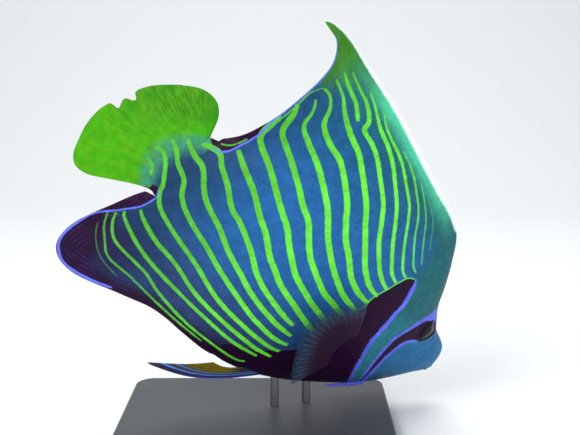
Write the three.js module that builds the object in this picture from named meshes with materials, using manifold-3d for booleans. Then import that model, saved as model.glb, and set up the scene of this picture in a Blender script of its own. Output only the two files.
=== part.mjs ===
// Emperor angelfish, adult and life size, turning head-down, held by a plain display stand.
// The fish is described straight, in percent of its standard length: x runs back from the
// snout, y up from the level of the mouth and z out to the fish's right. Every solid is
// shaped there, bent sideways with the turning body, and then joined or cut.
import * as THREE from 'three';
import { mergeVertices } from 'three/addons/utils/BufferGeometryUtils.js';
import Module from 'manifold-3d';

const wasm = await Module();
wasm.setup();

// Size, turn and attitude of the whole fish
const STANDARD_LENGTH = 270; // mm from the snout to the end of the tail stalk
const PERCENT = STANDARD_LENGTH / 100;
const GAP = 0.3; // mm left between neighbouring solids
const TURN = THREE.MathUtils.degToRad(48); // how far the body turns from head to tail stalk
const TURN_END = 112; // the tail is straight behind this station
const YAW = THREE.MathUtils.degToRad(216.7);
const PITCH = THREE.MathUtils.degToRad(-34.4);
const ROLL = THREE.MathUtils.degToRad(-29.8);

// Body: back and belly outlines, half width and the level where it is broadest
const SNOUT_TIP = 0.8;
const STALK_END = 102;
const BACK = [[0.8, 5], [1.4, 7.5], [3, 11.1], [6, 12.7], [10, 14.3], [14, 17.6], [18, 21.6],
  [22, 27.8], [27, 33.7], [33, 36.3], [41, 38.3], [49, 38.7], [57, 37], [65, 33.4], [74, 27.8],
  [82, 21.8], [88, 17.2], [94, 14.2], [102, 12.6]];
const BELLY = [[0.8, 5], [1.2, 3.1], [3, 1.5], [6, -0.6], [9, -3.4], [12, -6.6], [15, -9.6],
  [18, -12], [24, -15.6], [31, -19.6], [38, -23.2], [46, -26.2], [54, -27.4], [62, -26.2],
  [70, -22.4], [78, -16.8], [85, -11.4], [92, -7], [102, -4.4]];
const HALF_WIDTH = [[0.8, 0], [2, 1.9], [5, 3.6], [10, 5.2], [15, 6.3], [20, 7.3], [28, 8.6],
  [36, 9.1], [46, 8.6], [56, 7.5], [66, 6.1], [76, 4.7], [86, 3.3], [94, 2.2], [102, 1.2]];
const BROADEST = [[0.8, 5], [5, 5.5], [15, 4], [30, 4], [50, 5], [75, 5], [102, 4.3]];
const KEEL_SHARPNESS = 1.12; // above 1 the sections narrow toward the back and belly
const BODY_SIDES = 36;
const BODY_STATIONS = 46;

// Rear edge of the gill cover, as the station of the edge at each level
const GILL_EDGE = [[-60, 15], [-20, 17], [-12, 20], [-8, 24.2], [-3, 28.4], [2, 30.6], [7, 31.6],
  [12, 31.9], [17, 32.4], [21, 33.6], [24, 34.2], [29, 32], [35, 29], [60, 28]];
const STALK_START = 87;

// Eye: a flattened ball in a socket with a low rim
const EYE_STATION = 17;
const EYE_LEVEL = 14;
const EYE_RADIUS = 3.5;
const EYE_DEPTH = 2.2;
const EYE_SINK = 1.35;
const RIM_RADIUS = 3.62;
const RIM_THICKNESS = 0.3;

// Mouth, lips and nostrils
const LIP_LEVELS = [5.95, 3.75];
const LIP_SIZE = new THREE.Vector3(1, 1.05, 2.6);
const LIP_FRONT = 1.8;
const MOUTH_CORNER = 4.6;
const MOUTH_LEVEL = 4.9;
const MOUTH_SLOPE = -0.34;
const MOUTH_OPENING = 0.2;
const NOSTRILS = [[12.0, 12.5], [12.9, 13.7]];
const NOSTRIL_RADIUS = 0.36;

// Spine at the lower corner of the cheek plate
const CHEEK_SPINE_ROOT = [17.4, -8.6];
const CHEEK_SPINE_TIP = [27, -15.3];
const CHEEK_SPINE_RADIUS = 0.55;
const CHEEK_SPINE_LIFT = 1.6;

// Fins: number of rays, root on the body and outline of the margin
const RAY_RELIEF = 0.26; // mm that a ray stands above the membrane on each face
const RIM_HALF = 0.27; // mm, half of the thickness along a fin's margin
const DORSAL_RAYS = 34;
const DORSAL_ROOT = [25, 90];
const DORSAL_MARGIN = [[23.8, 30.5], [29.5, 36.8], [36.8, 40.4], [43.6, 43.3], [50.7, 45.6],
  [57.9, 47.8], [64.7, 49.8], [71.3, 51.4], [78.2, 52.8], [85.1, 54.3], [89.1, 54.6], [92.2, 54.1],
  [93.4, 53.1], [91.2, 52.6], [88, 51.7], [85.3, 47.9], [84.6, 42.7], [85, 36], [85.7, 30.3],
  [87.1, 24.7], [88.7, 20.2], [91.1, 16.2], [93.6, 14.6]];
const ANAL_RAYS = 23;
const ANAL_ROOT = [55, 95];
const ANAL_MARGIN = [[54, -27], [58.5, -28], [65, -27.9], [71, -27.7], [76, -28.3], [81, -30.1],
  [86, -32.1], [91, -34.4], [96, -36.2], [100.8, -36.5], [104, -34.6], [104.9, -31], [104.3, -26.3],
  [102.3, -20.8], [100.3, -16], [98.3, -10.6], [97, -6.9], [96, -4.4]];
const CAUDAL_RAYS = 17;
const CAUDAL_ROOT = [[96.5, 11.8], [96.5, -3.2]];
const CAUDAL_MARGIN = [[94.9, 15], [96, 18.8], [98.9, 21.4], [103.4, 21], [108, 18], [111.8, 14.6],
  [114.9, 11.2], [116.9, 7.6], [118.5, 4], [120.2, 0.3], [121.4, -3.8], [121.2, -8.4], [119.8, -12.6],
  [118.2, -15.8], [115.2, -17.3], [110.2, -15.6], [104.5, -10.7], [100.2, -6.3]];
const PECTORAL_RAYS = 19;
const PECTORAL_ROOT = [[32.6, 0.4], [31.6, -6.8]];
const PECTORAL_SINK = 1.8;
const PECTORAL_LENGTH = 18.2;
const PECTORAL_RISE = [0.74, -0.72];
const PECTORAL_SPREAD = 0.43;
const PECTORAL_CUP = 0.2;
const PELVIC_RAYS = 6;
const PELVIC_ROOT = [[41, -22, 2.4], [46.5, -23.4, 2.6]];
const PELVIC_SPREAD = [[65.2, -38.7, 2.9], [66.7, -38.9, 3], [62.7, -35.4, 3.2], [58.8, -31.9, 3.4],
  [54.6, -27.8, 3.2]]; // the right fin is spread below the belly
const PELVIC_FOLDED = [[69.4, -27, 3.8], [70.4, -25.4, 4], [66, -23.6, 4.5], [61, -22.3, 5.1],
  [55.5, -21.5, 5.6]]; // the left one lies along the flank
const PELVIC_DROOP = [3, 1.2];

// Display stand, mm
const BASE_LENGTH = 190;
const BASE_DEPTH = 140;
const BASE_THICKNESS = 10;
const BASE_BEVEL = 1.5;
const CLEARANCE = 12;
const ROD_RADIUS = 3;
const ROD_STATIONS = [29, 37];
const ROD_REACH = 60;

// Smooth curve through a few points that never swings past them; the root term rounds the snout
function profile(points) {
  const q = points.map(([x]) => Math.sqrt(Math.max(x - points[0][0], 0)));
  const y = points.map((p) => p[1]);
  const slope = q.slice(1).map((value, i) => (y[i + 1] - y[i]) / (value - q[i]));
  const tangent = q.map((value, i) => {
    if (i === 0 || i === q.length - 1) return slope[Math.min(i, slope.length - 1)];
    const before = slope[i - 1];
    const after = slope[i];
    return before * after <= 0 ? 0 : (2 * before * after) / (before + after);
  });
  return (x) => {
    const at = Math.sqrt(Math.min(Math.max(x - points[0][0], 0), q[q.length - 1] ** 2));
    let i = 0;
    while (i < q.length - 2 && at > q[i + 1]) i += 1;
    const span = q[i + 1] - q[i];
    const t = (at - q[i]) / span;
    const cubic = (2 * t ** 3 - 3 * t ** 2 + 1) * y[i] + (3 * t ** 2 - 2 * t ** 3) * y[i + 1];
    return cubic + span * ((t ** 3 - 2 * t ** 2 + t) * tangent[i] + (t ** 3 - t ** 2) * tangent[i + 1]);
  };
}

const backAt = profile(BACK);
const bellyAt = profile(BELLY);
const halfWidthAt = profile(HALF_WIDTH);
const broadestAt = profile(BROADEST);
const gillAt = profile(GILL_EDGE);

// Where the sideways turn takes a point: the section at each station stays flat and turns about y
function bend({ x, y, z }) {
  const steps = 24;
  const reach = Math.max(x, 0) / steps;
  let along = Math.min(x, 0);
  let aside = 0;
  for (let i = 0; i < steps; i += 1) {
    const angle = TURN * (Math.min((i + 0.5) * reach, TURN_END) / 100) ** 2;
    along += Math.cos(angle) * reach;
    aside += Math.sin(angle) * reach;
  }
  const turned = TURN * (Math.min(Math.max(x, 0), TURN_END) / 100) ** 2;
  const bent = new THREE.Vector3(along + z * Math.sin(turned), z * Math.cos(turned) - aside, y);
  return bent.multiplyScalar(PERCENT);
}

// Turns a geometry's vertices into new places, with its faces pointing outwards
function moved(geometry, place) {
  const position = geometry.attributes.position;
  const point = new THREE.Vector3();
  for (let i = 0; i < position.count; i += 1) {
    point.fromBufferAttribute(position, i);
    const to = place(point, i);
    position.setXYZ(i, to.x, to.y, to.z);
  }
  return geometry;
}

function closed(geometry) {
  geometry.deleteAttribute('normal');
  geometry.deleteAttribute('uv');
  geometry.clearGroups();
  const merged = mergeVertices(geometry, 1e-4);
  const position = merged.attributes.position;
  const index = merged.index.array;
  const [a, b, c] = [new THREE.Vector3(), new THREE.Vector3(), new THREE.Vector3()];
  const kept = [];
  let volume = 0;
  for (let i = 0; i < index.length; i += 3) {
    const [i0, i1, i2] = [index[i], index[i + 1], index[i + 2]];
    if (i0 === i1 || i1 === i2 || i2 === i0) continue;
    kept.push(i0, i1, i2);
    a.fromBufferAttribute(position, i0);
    b.fromBufferAttribute(position, i1);
    c.fromBufferAttribute(position, i2);
    volume += a.dot(b.cross(c));
  }
  if (volume < 0) kept.reverse();
  merged.setIndex(kept);
  return merged;
}

function solidOf(geometry) {
  const merged = closed(geometry);
  return new wasm.Manifold(new wasm.Mesh({
    numProp: 3,
    vertProperties: new Float32Array(merged.attributes.position.array),
    triVerts: new Uint32Array(merged.index.array),
  }));
}

// The bent solid of a shape that is laid out on the straight fish
function bentSolid(geometry, place) {
  return solidOf(moved(geometry, (point, i) => bend(place(point, i))));
}

function geometryOf(solid) {
  const pieces = solid.decompose();
  const largest = pieces.reduce((best, piece) => (piece.volume() > best.volume() ? piece : best));
  const mesh = largest.getMesh();
  const geometry = new THREE.BufferGeometry();
  geometry.setAttribute('position', new THREE.BufferAttribute(mesh.vertProperties, 3));
  geometry.setIndex(new THREE.BufferAttribute(mesh.triVerts, 1));
  geometry.computeVertexNormals();
  return geometry;
}

// Skin of the straight body at a station and an angle round it, grown outwards by some mm
function skin(x, angle, grow = 0) {
  const out = grow / PERCENT;
  const middle = broadestAt(x);
  const rise = Math.sin(angle);
  const reach = rise > 0 ? backAt(x) + 1.4 * out - middle : middle - bellyAt(x) + 1.4 * out;
  const side = Math.sign(Math.cos(angle)) * Math.abs(Math.cos(angle)) ** KEEL_SHARPNESS;
  return new THREE.Vector3(x, middle + reach * rise, side * (halfWidthAt(x) + out));
}

// How far out the skin lies at a station and level
function skinHalf(x, y) {
  const middle = broadestAt(x);
  const reach = y > middle ? backAt(x) - middle : middle - bellyAt(x);
  const rise = Math.min(Math.abs(y - middle) / reach, 1);
  return halfWidthAt(x) * Math.sqrt(1 - rise * rise) ** KEEL_SHARPNESS;
}

function skinNormal(x, y) {
  const step = 0.4;
  const alongX = (skinHalf(x + step, y) - skinHalf(x - step, y)) / (2 * step);
  const alongY = (skinHalf(x, y + step) - skinHalf(x, y - step)) / (2 * step);
  return new THREE.Vector3(-alongX, -alongY, 1).normalize();
}

function bodySolid(grow = 0) {
  const geometry = new THREE.SphereGeometry(1, BODY_SIDES, BODY_STATIONS);
  const uv = geometry.attributes.uv;
  return bentSolid(geometry, (point, i) => {
    const v = 1 - uv.getY(i);
    const x = SNOUT_TIP + (STALK_END - SNOUT_TIP) * (0.55 * v + 0.45 * v * v);
    const atEnd = v < 1e-6 || v > 1 - 1e-6;
    const tip = new THREE.Vector3(x + (v < 0.5 ? -grow : grow) / PERCENT, broadestAt(x), 0);
    return atEnd ? tip : skin(x, uv.getX(i) * 2 * Math.PI, grow);
  });
}

// Everything in front of the rear edge of the gill cover
function headRegion(grow = 0) {
  const geometry = new THREE.BoxGeometry(1, 1, 1, 6, 34, 1);
  return bentSolid(geometry, ({ x, y, z }) => {
    const level = y * 110 + 10;
    const edge = gillAt(level) + grow / PERCENT;
    return new THREE.Vector3(-12 + (edge + 12) * (x + 0.5), level, z * 40);
  });
}

function stalkRegion(grow = 0) {
  const geometry = new THREE.BoxGeometry(1, 1, 1, 8, 1, 1);
  const start = STALK_START - grow / PERCENT;
  return bentSolid(geometry, ({ x, y, z }) => new THREE.Vector3(start + 40 * (x + 0.5), y * 120, z * 40));
}

// A fin blade. The rays run from the root at t = 0 to the margin at t = 1, side by side along s
function blade(rays, rows, place, half) {
  const columns = 2 * rays;
  const geometry = new THREE.BoxGeometry(1, 1, 1, columns, rows, 1);
  const index = geometry.index.array;
  const back = geometry.groups[5];
  for (let i = back.start; i < back.start + back.count; i += 6) {
    const [a, b, d, , c] = index.slice(i, i + 5);
    index.set([a, b, c, a, c, d], i);
  }
  const step = 0.25 / columns;
  return bentSolid(geometry, ({ x, y, z }) => {
    const s = x + 0.5;
    const t = y + 0.5;
    const column = Math.round(s * columns);
    const along = place(Math.min(s + step, 1), t).sub(place(Math.max(s - step, 0), t));
    const outward = place(s, Math.min(t + step, 1)).sub(place(s, Math.max(t - step, 0)));
    const normal = along.cross(outward).normalize();
    const relief = column % 2 ? RAY_RELIEF : 0;
    return place(s, t).addScaledVector(normal, (2 * z * (half(s, t) + relief)) / PERCENT);
  });
}

function marginCurve(points) {
  return new THREE.SplineCurve(points.map(([x, y]) => new THREE.Vector2(x, y)));
}

// A fin in the fish's middle plane, from its root line to its margin. Its rays bow forward by
// some of the standard length halfway out, and it sways a little to one side
function medianFin(rays, rows, root, margin, half, bow, sway) {
  const curve = marginCurve(margin);
  curve.arcLengthDivisions = 400;
  return blade(rays, rows, (s, t) => {
    const point = root(s).lerp(curve.getPointAt(s), t);
    point.x -= 4 * t * (1 - t) * bow(s);
    return new THREE.Vector3(point.x, point.y, sway(s, t));
  }, half);
}

function dorsalFin() {
  const root = (s) => {
    const x = THREE.MathUtils.lerp(...DORSAL_ROOT, s);
    return new THREE.Vector2(x, backAt(x) - 2.2);
  };
  const half = (s, t) => RIM_HALF + 2.4 * (1 - t) ** 1.5;
  const bow = (s) => 3.2 * Math.exp(-(((s - 0.7) / 0.13) ** 2));
  return medianFin(DORSAL_RAYS, 6, root, DORSAL_MARGIN, half, bow, (s, t) => 1.2 * s * s * t * t);
}

function analFin() {
  const root = (s) => {
    const x = THREE.MathUtils.lerp(...ANAL_ROOT, s);
    return new THREE.Vector2(x, bellyAt(x) + 2);
  };
  const half = (s, t) => RIM_HALF + 2.2 * (1 - t) ** 1.5;
  const bow = (s) => 1.5 * Math.sin(Math.PI * s);
  return medianFin(ANAL_RAYS, 6, root, ANAL_MARGIN, half, bow, (s, t) => 1.2 * s * s * t * t);
}

function caudalFin() {
  const [top, bottom] = CAUDAL_ROOT;
  const root = (s) => new THREE.Vector2(...top).lerp(new THREE.Vector2(...bottom), s);
  const half = (s, t) => RIM_HALF + 1.3 * (1 - t) ** 1.2;
  const sway = (s, t) => 0.9 * Math.sin(Math.PI * s) * t * t;
  return medianFin(CAUDAL_RAYS, 7, root, CAUDAL_MARGIN, half, () => 0, sway);
}

// The pectoral fan spreads out and back from a short root on the flank
function pectoralFin(side) {
  const [top, bottom] = PECTORAL_ROOT.map(([x, y]) => new THREE.Vector2(x, y));
  const half = (s, t) => RIM_HALF + 0.9 * (1 - t) ** 1.5;
  return blade(PECTORAL_RAYS, 6, (s, t) => {
    const at = top.clone().lerp(bottom, s);
    const rise = THREE.MathUtils.lerp(...PECTORAL_RISE, s);
    const spread = PECTORAL_SPREAD + PECTORAL_CUP * (2 * s - 1) ** 2;
    const length = PECTORAL_SINK + PECTORAL_LENGTH - 4.9 * s + 3.7 * Math.exp(-(((s - 0.34) / 0.23) ** 2));
    const along = new THREE.Vector3(
      Math.cos(rise) * Math.cos(spread), Math.sin(rise), Math.cos(rise) * Math.sin(spread));
    const point = new THREE.Vector3(at.x, at.y, skinHalf(at.x, at.y) - PECTORAL_SINK);
    point.addScaledVector(along, length * t);
    point.z *= side;
    return point;
  }, half);
}

function pelvicFin(side) {
  const [front, rear] = PELVIC_ROOT.map((point) => new THREE.Vector3(...point));
  const margin = side > 0 ? PELVIC_SPREAD : PELVIC_FOLDED;
  const curve = new THREE.CatmullRomCurve3(margin.map((point) => new THREE.Vector3(...point)));
  const half = (s, t) => RIM_HALF + (1.1 - 0.5 * s) * (1 - t) ** 0.9;
  return blade(PELVIC_RAYS, 9, (s, t) => {
    const point = front.clone().lerp(rear, s).lerp(curve.getPointAt(s), t);
    point.y -= THREE.MathUtils.lerp(...PELVIC_DROOP, s) * Math.sin(Math.PI * t);
    point.z *= side;
    return point;
  }, half);
}

// A low curved lip across the snout, drawn back at its corners
function lip(level) {
  const geometry = new THREE.SphereGeometry(1, 10, 8);
  return bentSolid(geometry, ({ x, y, z }) => {
    const across = y * LIP_SIZE.z;
    const back = 3 * y * y;
    return new THREE.Vector3(
      LIP_FRONT + x * LIP_SIZE.x + back, level + z * LIP_SIZE.y + MOUTH_SLOPE * back, across);
  });
}

function mouthSlit() {
  const geometry = new THREE.BoxGeometry(1, 1, 1, 6, 1, 1);
  return bentSolid(geometry, ({ x, y, z }) => {
    const station = THREE.MathUtils.lerp(-3, MOUTH_CORNER, x + 0.5);
    const level = MOUTH_LEVEL + MOUTH_SLOPE * (station - LIP_FRONT);
    return new THREE.Vector3(station, level + y * MOUTH_OPENING, z * 12);
  });
}

// Places a shape on the skin, with its own z axis along the skin's normal
function onSkin(geometry, station, level, side, sink, size) {
  const normal = skinNormal(station, level);
  const seat = new THREE.Vector3(station, level, skinHalf(station, level)).addScaledVector(normal, -sink);
  const turn = new THREE.Quaternion().setFromUnitVectors(new THREE.Vector3(0, 0, 1), normal);
  return moved(geometry, (point) => {
    const at = point.clone().multiply(size).applyQuaternion(turn).add(seat);
    at.z *= side;
    return bend(at);
  });
}

function eyeBall(side, grow = 0) {
  const out = grow / PERCENT;
  const geometry = new THREE.SphereGeometry(1, 18, 12);
  geometry.rotateX(Math.PI / 2);
  const size = new THREE.Vector3(EYE_RADIUS + out, EYE_RADIUS + out, EYE_DEPTH + out);
  return onSkin(geometry, EYE_STATION, EYE_LEVEL, side, EYE_SINK, size);
}

function eyeRim(side) {
  const geometry = new THREE.TorusGeometry(RIM_RADIUS, RIM_THICKNESS, 5, 20);
  return onSkin(geometry, EYE_STATION, EYE_LEVEL, side, 0.05, new THREE.Vector3(1, 1, 1.3));
}

function nostril(side, [station, level]) {
  const geometry = new THREE.SphereGeometry(NOSTRIL_RADIUS, 8, 6);
  return onSkin(geometry, station, level, side, 0, new THREE.Vector3(1, 1, 1));
}

// The cheek spine lies along the gill cover and stands just clear of it toward its tip
function cheekSpine(side) {
  const geometry = new THREE.CylinderGeometry(0.35, 1, 1, 7, 5);
  return bentSolid(geometry, ({ x, y, z }) => {
    const t = y + 0.5;
    const station = THREE.MathUtils.lerp(CHEEK_SPINE_ROOT[0], CHEEK_SPINE_TIP[0], t);
    const level = THREE.MathUtils.lerp(CHEEK_SPINE_ROOT[1], CHEEK_SPINE_TIP[1], t) - 0.8 * Math.sin(Math.PI * t);
    const out = skinHalf(station, level) + CHEEK_SPINE_LIFT * t;
    return new THREE.Vector3(
      station + x * CHEEK_SPINE_RADIUS * 0.6, level + x * CHEEK_SPINE_RADIUS, side * (out + z * CHEEK_SPINE_RADIUS));
  });
}

function sum(solids) {
  return solids.reduce((whole, piece) => whole.add(piece));
}

const SIDES = [['right', 1], ['left', -1]];
const body = bodySolid();
const grownBody = bodySolid(GAP);

function headSolid() {
  const behind = grownBody.subtract(headRegion());
  const onHead = SIDES.flatMap(([, side]) => [solidOf(eyeRim(side)), cheekSpine(side).subtract(behind)]);
  const added = sum([body.intersect(headRegion()), ...LIP_LEVELS.map(lip), ...onHead]);
  const sockets = SIDES.map(([, side]) => solidOf(eyeBall(side, GAP)));
  const nostrils = SIDES.flatMap(([, side]) => NOSTRILS.map((place) => solidOf(nostril(side, place))));
  return added.subtract(sum([...sockets, ...nostrils, mouthSlit()]));
}

// Colours of the animal's parts
const COLOURS = {
  head: 0x2b6f86,
  torso: 0x2f5fa8,
  tail_stalk: 0x3a6ab8,
  dorsal_fin: 0x5f9f5a,
  anal_fin: 0x43309a,
  caudal_fin: 0x96c81e,
  pectoral_fin: 0x49617a,
  pelvic_fin: 0x8a7a35,
  eye: 0x111018,
  stand_base: 0x2c2e31,
  stand_rod: 0xb9bcc0,
};

function named(name, geometry, colour, roughness = 0.45, metalness = 0) {
  const material = new THREE.MeshStandardMaterial({ color: colour, roughness, metalness });
  const mesh = new THREE.Mesh(geometry, material);
  mesh.name = name;
  return mesh;
}

function fishGroup() {
  const fish = new THREE.Group();
  const torso = body.subtract(headRegion(GAP)).subtract(stalkRegion(GAP));
  fish.add(named('head', geometryOf(headSolid()), COLOURS.head));
  fish.add(named('torso', geometryOf(torso), COLOURS.torso));
  fish.add(named('tail_stalk', geometryOf(body.intersect(stalkRegion())), COLOURS.tail_stalk));
  const fins = { dorsal_fin: dorsalFin(), anal_fin: analFin(), caudal_fin: caudalFin() };
  for (const [name, fin] of Object.entries(fins)) {
    fish.add(named(name, geometryOf(fin.subtract(grownBody)), COLOURS[name]));
  }
  for (const [label, side] of SIDES) {
    const pectoral = pectoralFin(side).subtract(grownBody);
    const pelvic = pelvicFin(side).subtract(grownBody);
    fish.add(named(`pectoral_fin_${label}`, geometryOf(pectoral), COLOURS.pectoral_fin));
    fish.add(named(`pelvic_fin_${label}`, geometryOf(pelvic), COLOURS.pelvic_fin));
    fish.add(named(`eye_${label}`, closed(eyeBall(side)), COLOURS.eye, 0.1));
  }
  fish.rotation.set(ROLL, PITCH, YAW, 'ZYX');
  return fish;
}

function standBase() {
  const outline = new THREE.Shape();
  const [w, d, r] = [BASE_LENGTH / 2 - BASE_BEVEL, BASE_DEPTH / 2 - BASE_BEVEL, 12];
  outline.absarc(w - r, d - r, r, 0, Math.PI / 2);
  outline.absarc(r - w, d - r, r, Math.PI / 2, Math.PI);
  outline.absarc(r - w, r - d, r, Math.PI, 1.5 * Math.PI);
  outline.absarc(w - r, r - d, r, 1.5 * Math.PI, 2 * Math.PI);
  const geometry = new THREE.ExtrudeGeometry(outline, {
    depth: BASE_THICKNESS - 2 * BASE_BEVEL,
    bevelEnabled: true,
    bevelThickness: BASE_BEVEL,
    bevelSize: BASE_BEVEL,
    bevelSegments: 2,
    curveSegments: 5,
  });
  geometry.translate(0, 0, BASE_BEVEL);
  return geometry;
}

// A rod from the base up into the belly, cut off just short of the skin
function standRod(foot, bodyInPlace) {
  const rod = new THREE.CylinderGeometry(ROD_RADIUS, ROD_RADIUS, ROD_REACH, 24);
  rod.rotateX(Math.PI / 2);
  rod.translate(foot.x, foot.y, BASE_THICKNESS + GAP + ROD_REACH / 2);
  const below = solidOf(rod).subtract(bodyInPlace).decompose();
  const lowest = below.reduce((best, piece) => (piece.boundingBox().min[2] < best.boundingBox().min[2] ? piece : best));
  return geometryOf(lowest).translate(-foot.x, -foot.y, 0);
}

function angelfish() {
  const part = new THREE.Group();
  const fish = fishGroup();
  const box = new THREE.Box3().setFromObject(fish, true);
  const centre = box.getCenter(new THREE.Vector3());
  fish.position.set(-centre.x, -centre.y, BASE_THICKNESS + CLEARANCE - box.min.z);
  fish.updateMatrixWorld(true);
  part.add(fish);
  part.add(named('stand_base', standBase(), COLOURS.stand_base, 0.5, 0.6));
  const bodyInPlace = grownBody.transform(fish.matrixWorld.elements);
  ROD_STATIONS.forEach((station, i) => {
    const foot = fish.localToWorld(bend(new THREE.Vector3(station, bellyAt(station), 0)));
    const rod = named(`stand_rod_${['front', 'rear'][i]}`, standRod(foot, bodyInPlace), COLOURS.stand_rod, 0.3, 1);
    rod.position.set(foot.x, foot.y, 0);
    part.add(rod);
  });
  return part;
}

export default angelfish();
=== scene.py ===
import math

import bmesh
import bpy
import numpy as np
from bpy.props import FloatProperty, FloatVectorProperty, IntProperty, PointerProperty
from mathutils import Euler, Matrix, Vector
from mathutils.kdtree import KDTree


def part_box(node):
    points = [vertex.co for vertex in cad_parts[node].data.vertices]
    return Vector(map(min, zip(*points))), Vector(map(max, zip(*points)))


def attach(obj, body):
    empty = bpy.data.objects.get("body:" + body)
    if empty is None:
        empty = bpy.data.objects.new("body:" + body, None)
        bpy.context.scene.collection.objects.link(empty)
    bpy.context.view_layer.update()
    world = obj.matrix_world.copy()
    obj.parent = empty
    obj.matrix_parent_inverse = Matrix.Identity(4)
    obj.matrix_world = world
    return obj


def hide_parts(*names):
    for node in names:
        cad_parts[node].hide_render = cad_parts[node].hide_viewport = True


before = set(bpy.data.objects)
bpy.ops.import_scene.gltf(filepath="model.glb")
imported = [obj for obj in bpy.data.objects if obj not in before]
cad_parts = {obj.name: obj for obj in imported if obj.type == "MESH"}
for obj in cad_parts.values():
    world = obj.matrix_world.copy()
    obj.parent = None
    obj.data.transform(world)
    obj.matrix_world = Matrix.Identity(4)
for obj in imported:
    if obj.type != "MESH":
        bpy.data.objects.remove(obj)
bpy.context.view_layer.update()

bl_info = {
    "name": "Emperor angelfish on a display stand",
    "version": (1, 0, 0),
    "blender": (4, 5, 0),
    "location": "3D View > Sidebar > Angelfish",
    "description": "Builds the skin, scales, eyes, lips, fins and finishes of a life-size angelfish model",
    "category": "Add Mesh",
}

SIDES = {"right": 1, "left": -1}

# The straight fish is described in hundredths of its standard length: x runs rearward from the snout,
# y up and w out to its right side. It is then bent sideways, turned and set on its rods
STANDARD_LENGTH = 0.270  # m
PERCENT = STANDARD_LENGTH / 100
MM = 0.1 / STANDARD_LENGTH  # one millimetre in hundredths of the standard length
TURN = math.radians(48)  # how far the backbone has turned at one standard length
TURN_END = 112  # the station behind which the fish is straight again
# The roll, pitch and heading that lay the fish over the photo's
ATTITUDE = Euler((math.radians(-29.8), math.radians(-34.4), math.radians(216.7)), "XYZ")
ROTATION = np.array(ATTITUDE.to_matrix())

# The body's outline, width and gill edge
SNOUT_TIP = 0.8
BACK = [(0.8, 5), (1.4, 7.5), (3, 11.1), (6, 12.7), (10, 14.3), (14, 17.6), (18, 21.6), (22, 27.8),
        (27, 33.7), (33, 36.3), (41, 38.3), (49, 38.7), (57, 37), (65, 33.4), (74, 27.8), (82, 21.8),
        (88, 17.2), (94, 14.2), (102, 12.6)]
BELLY = [(0.8, 5), (1.2, 3.1), (3, 1.5), (6, -0.6), (9, -3.4), (12, -6.6), (15, -9.6), (18, -12),
         (24, -15.6), (31, -19.6), (38, -23.2), (46, -26.2), (54, -27.4), (62, -26.2), (70, -22.4),
         (78, -16.8), (85, -11.4), (92, -7), (102, -4.4)]
HALF_WIDTH = [(0.8, 0), (2, 1.9), (5, 3.6), (10, 5.2), (15, 6.3), (20, 7.3), (28, 8.6), (36, 9.1),
              (46, 8.6), (56, 7.5), (66, 6.1), (76, 4.7), (86, 3.3), (94, 2.2), (102, 1.2)]
BROADEST = [(0.8, 5), (5, 5.5), (15, 4), (30, 4), (50, 5), (75, 5), (102, 4.3)]
KEEL_SHARPNESS = 1.12
EYE = (17, 14)
EYE_RADIUS = 3.5
EYE_DEPTH = 2.2
EYE_SINK = 1.35
ORBIT = 2.95  # radius of the rim that hugs the eyeball
MOUTH_SLIT = [(0, 5.4), (4.6, 3.85)]
NOSTRILS = [(12.0, 12.5), (12.9, 13.7)]

# The unpaired fins: where each is rooted and the course of its margin
DORSAL_ROOT = (25, 92)
DORSAL_MARGIN = [(23.8, 30.5), (29.3, 37.2), (36.5, 40.9), (43.6, 43.3), (50.7, 45.6), (57.9, 47.8),
                 (64.7, 49.8), (71.3, 51.4), (78.2, 52.8), (85.1, 54.3), (89.1, 54.6), (92.2, 54.1),
                 (93.4, 53.1), (91.2, 52.6), (88, 51.7), (85.3, 47.9), (84.6, 42.7), (85, 36), (85.7, 30.3),
                 (87.1, 24.7), (88.7, 20.4), (91.1, 16.8), (93.2, 15)]
DORSAL_RAYS = 34
ANAL_ROOT = (55, 93.8)
ANAL_MARGIN = [(54, -27.4), (58.5, -28), (65, -27.9), (71, -27.7), (76, -28.3), (81, -30.1), (86, -32.1),
               (91, -34.4), (96, -36.2), (100.8, -36.5), (104, -34.6), (104.9, -31), (104.3, -26.3),
               (102.3, -20.8), (100.3, -16), (98.3, -10.8), (96.8, -7.6), (95.6, -6)]
ANAL_RAYS = 23
CAUDAL_START = 94.2
CAUDAL_MARGIN = [(94.8, 15), (95.9, 18.8), (98.9, 21.4), (103.4, 21), (108, 18), (111.8, 14.6),
                 (114.9, 11.2), (116.8, 7.6), (114.9, 6.2), (117.9, 4.1), (117.2, 1.2), (120.2, 0.3),
                 (121.4, -3.8), (121.2, -8.4), (119.8, -12.6), (118.2, -15.8), (115.2, -17.3),
                 (110.2, -15.6), (104.5, -10.7), (100.2, -6.3), (97.6, -4.1)]
CAUDAL_RAYS = 17
RIM_HALF = 0.27  # mm, half of the thickness along a fin's margin
DORSAL_THICKNESS = 2.0  # mm added to that at the root
ANAL_THICKNESS = 1.8
CAUDAL_THICKNESS = 1.3
ROOT_FILLET = 1.0
BLADE_FILLET = 0.12
ROUNDED_FROM = 0.985  # the share of a fin's reach from which its margin closes
FIN_SWAY = 1.2  # how far the upper and lower fins' rear tips swing to the right
CAUDAL_SWAY = 0.9

FAR = 20.0  # mm, the distance given to points that are nowhere near a marking
OUT_OF_REACH = 99.0  # mm, the same for the distances to the fins' edges
STRIPE_FIT = 0.92  # the share of its widest width that a stripe keeps
FIN_LEVEL = 38  # a stripe that starts above this level tapers long
OPEN_END = 6  # mm, how far a line's rim steps back past its ends

# The skin's grid: columns from snout to tail margin, rows from the anal margin to the dorsal margin
BODY_COLUMNS = 262
TAIL_COLUMNS = 54
ANAL_ROWS = 48
FLANK_ROWS = 100
DORSAL_ROWS = 54
MIDDLE_ROW = ANAL_ROWS + FLANK_ROWS // 2
CROWDING = 0.06  # below 1, the columns crowd toward the snout

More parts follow.
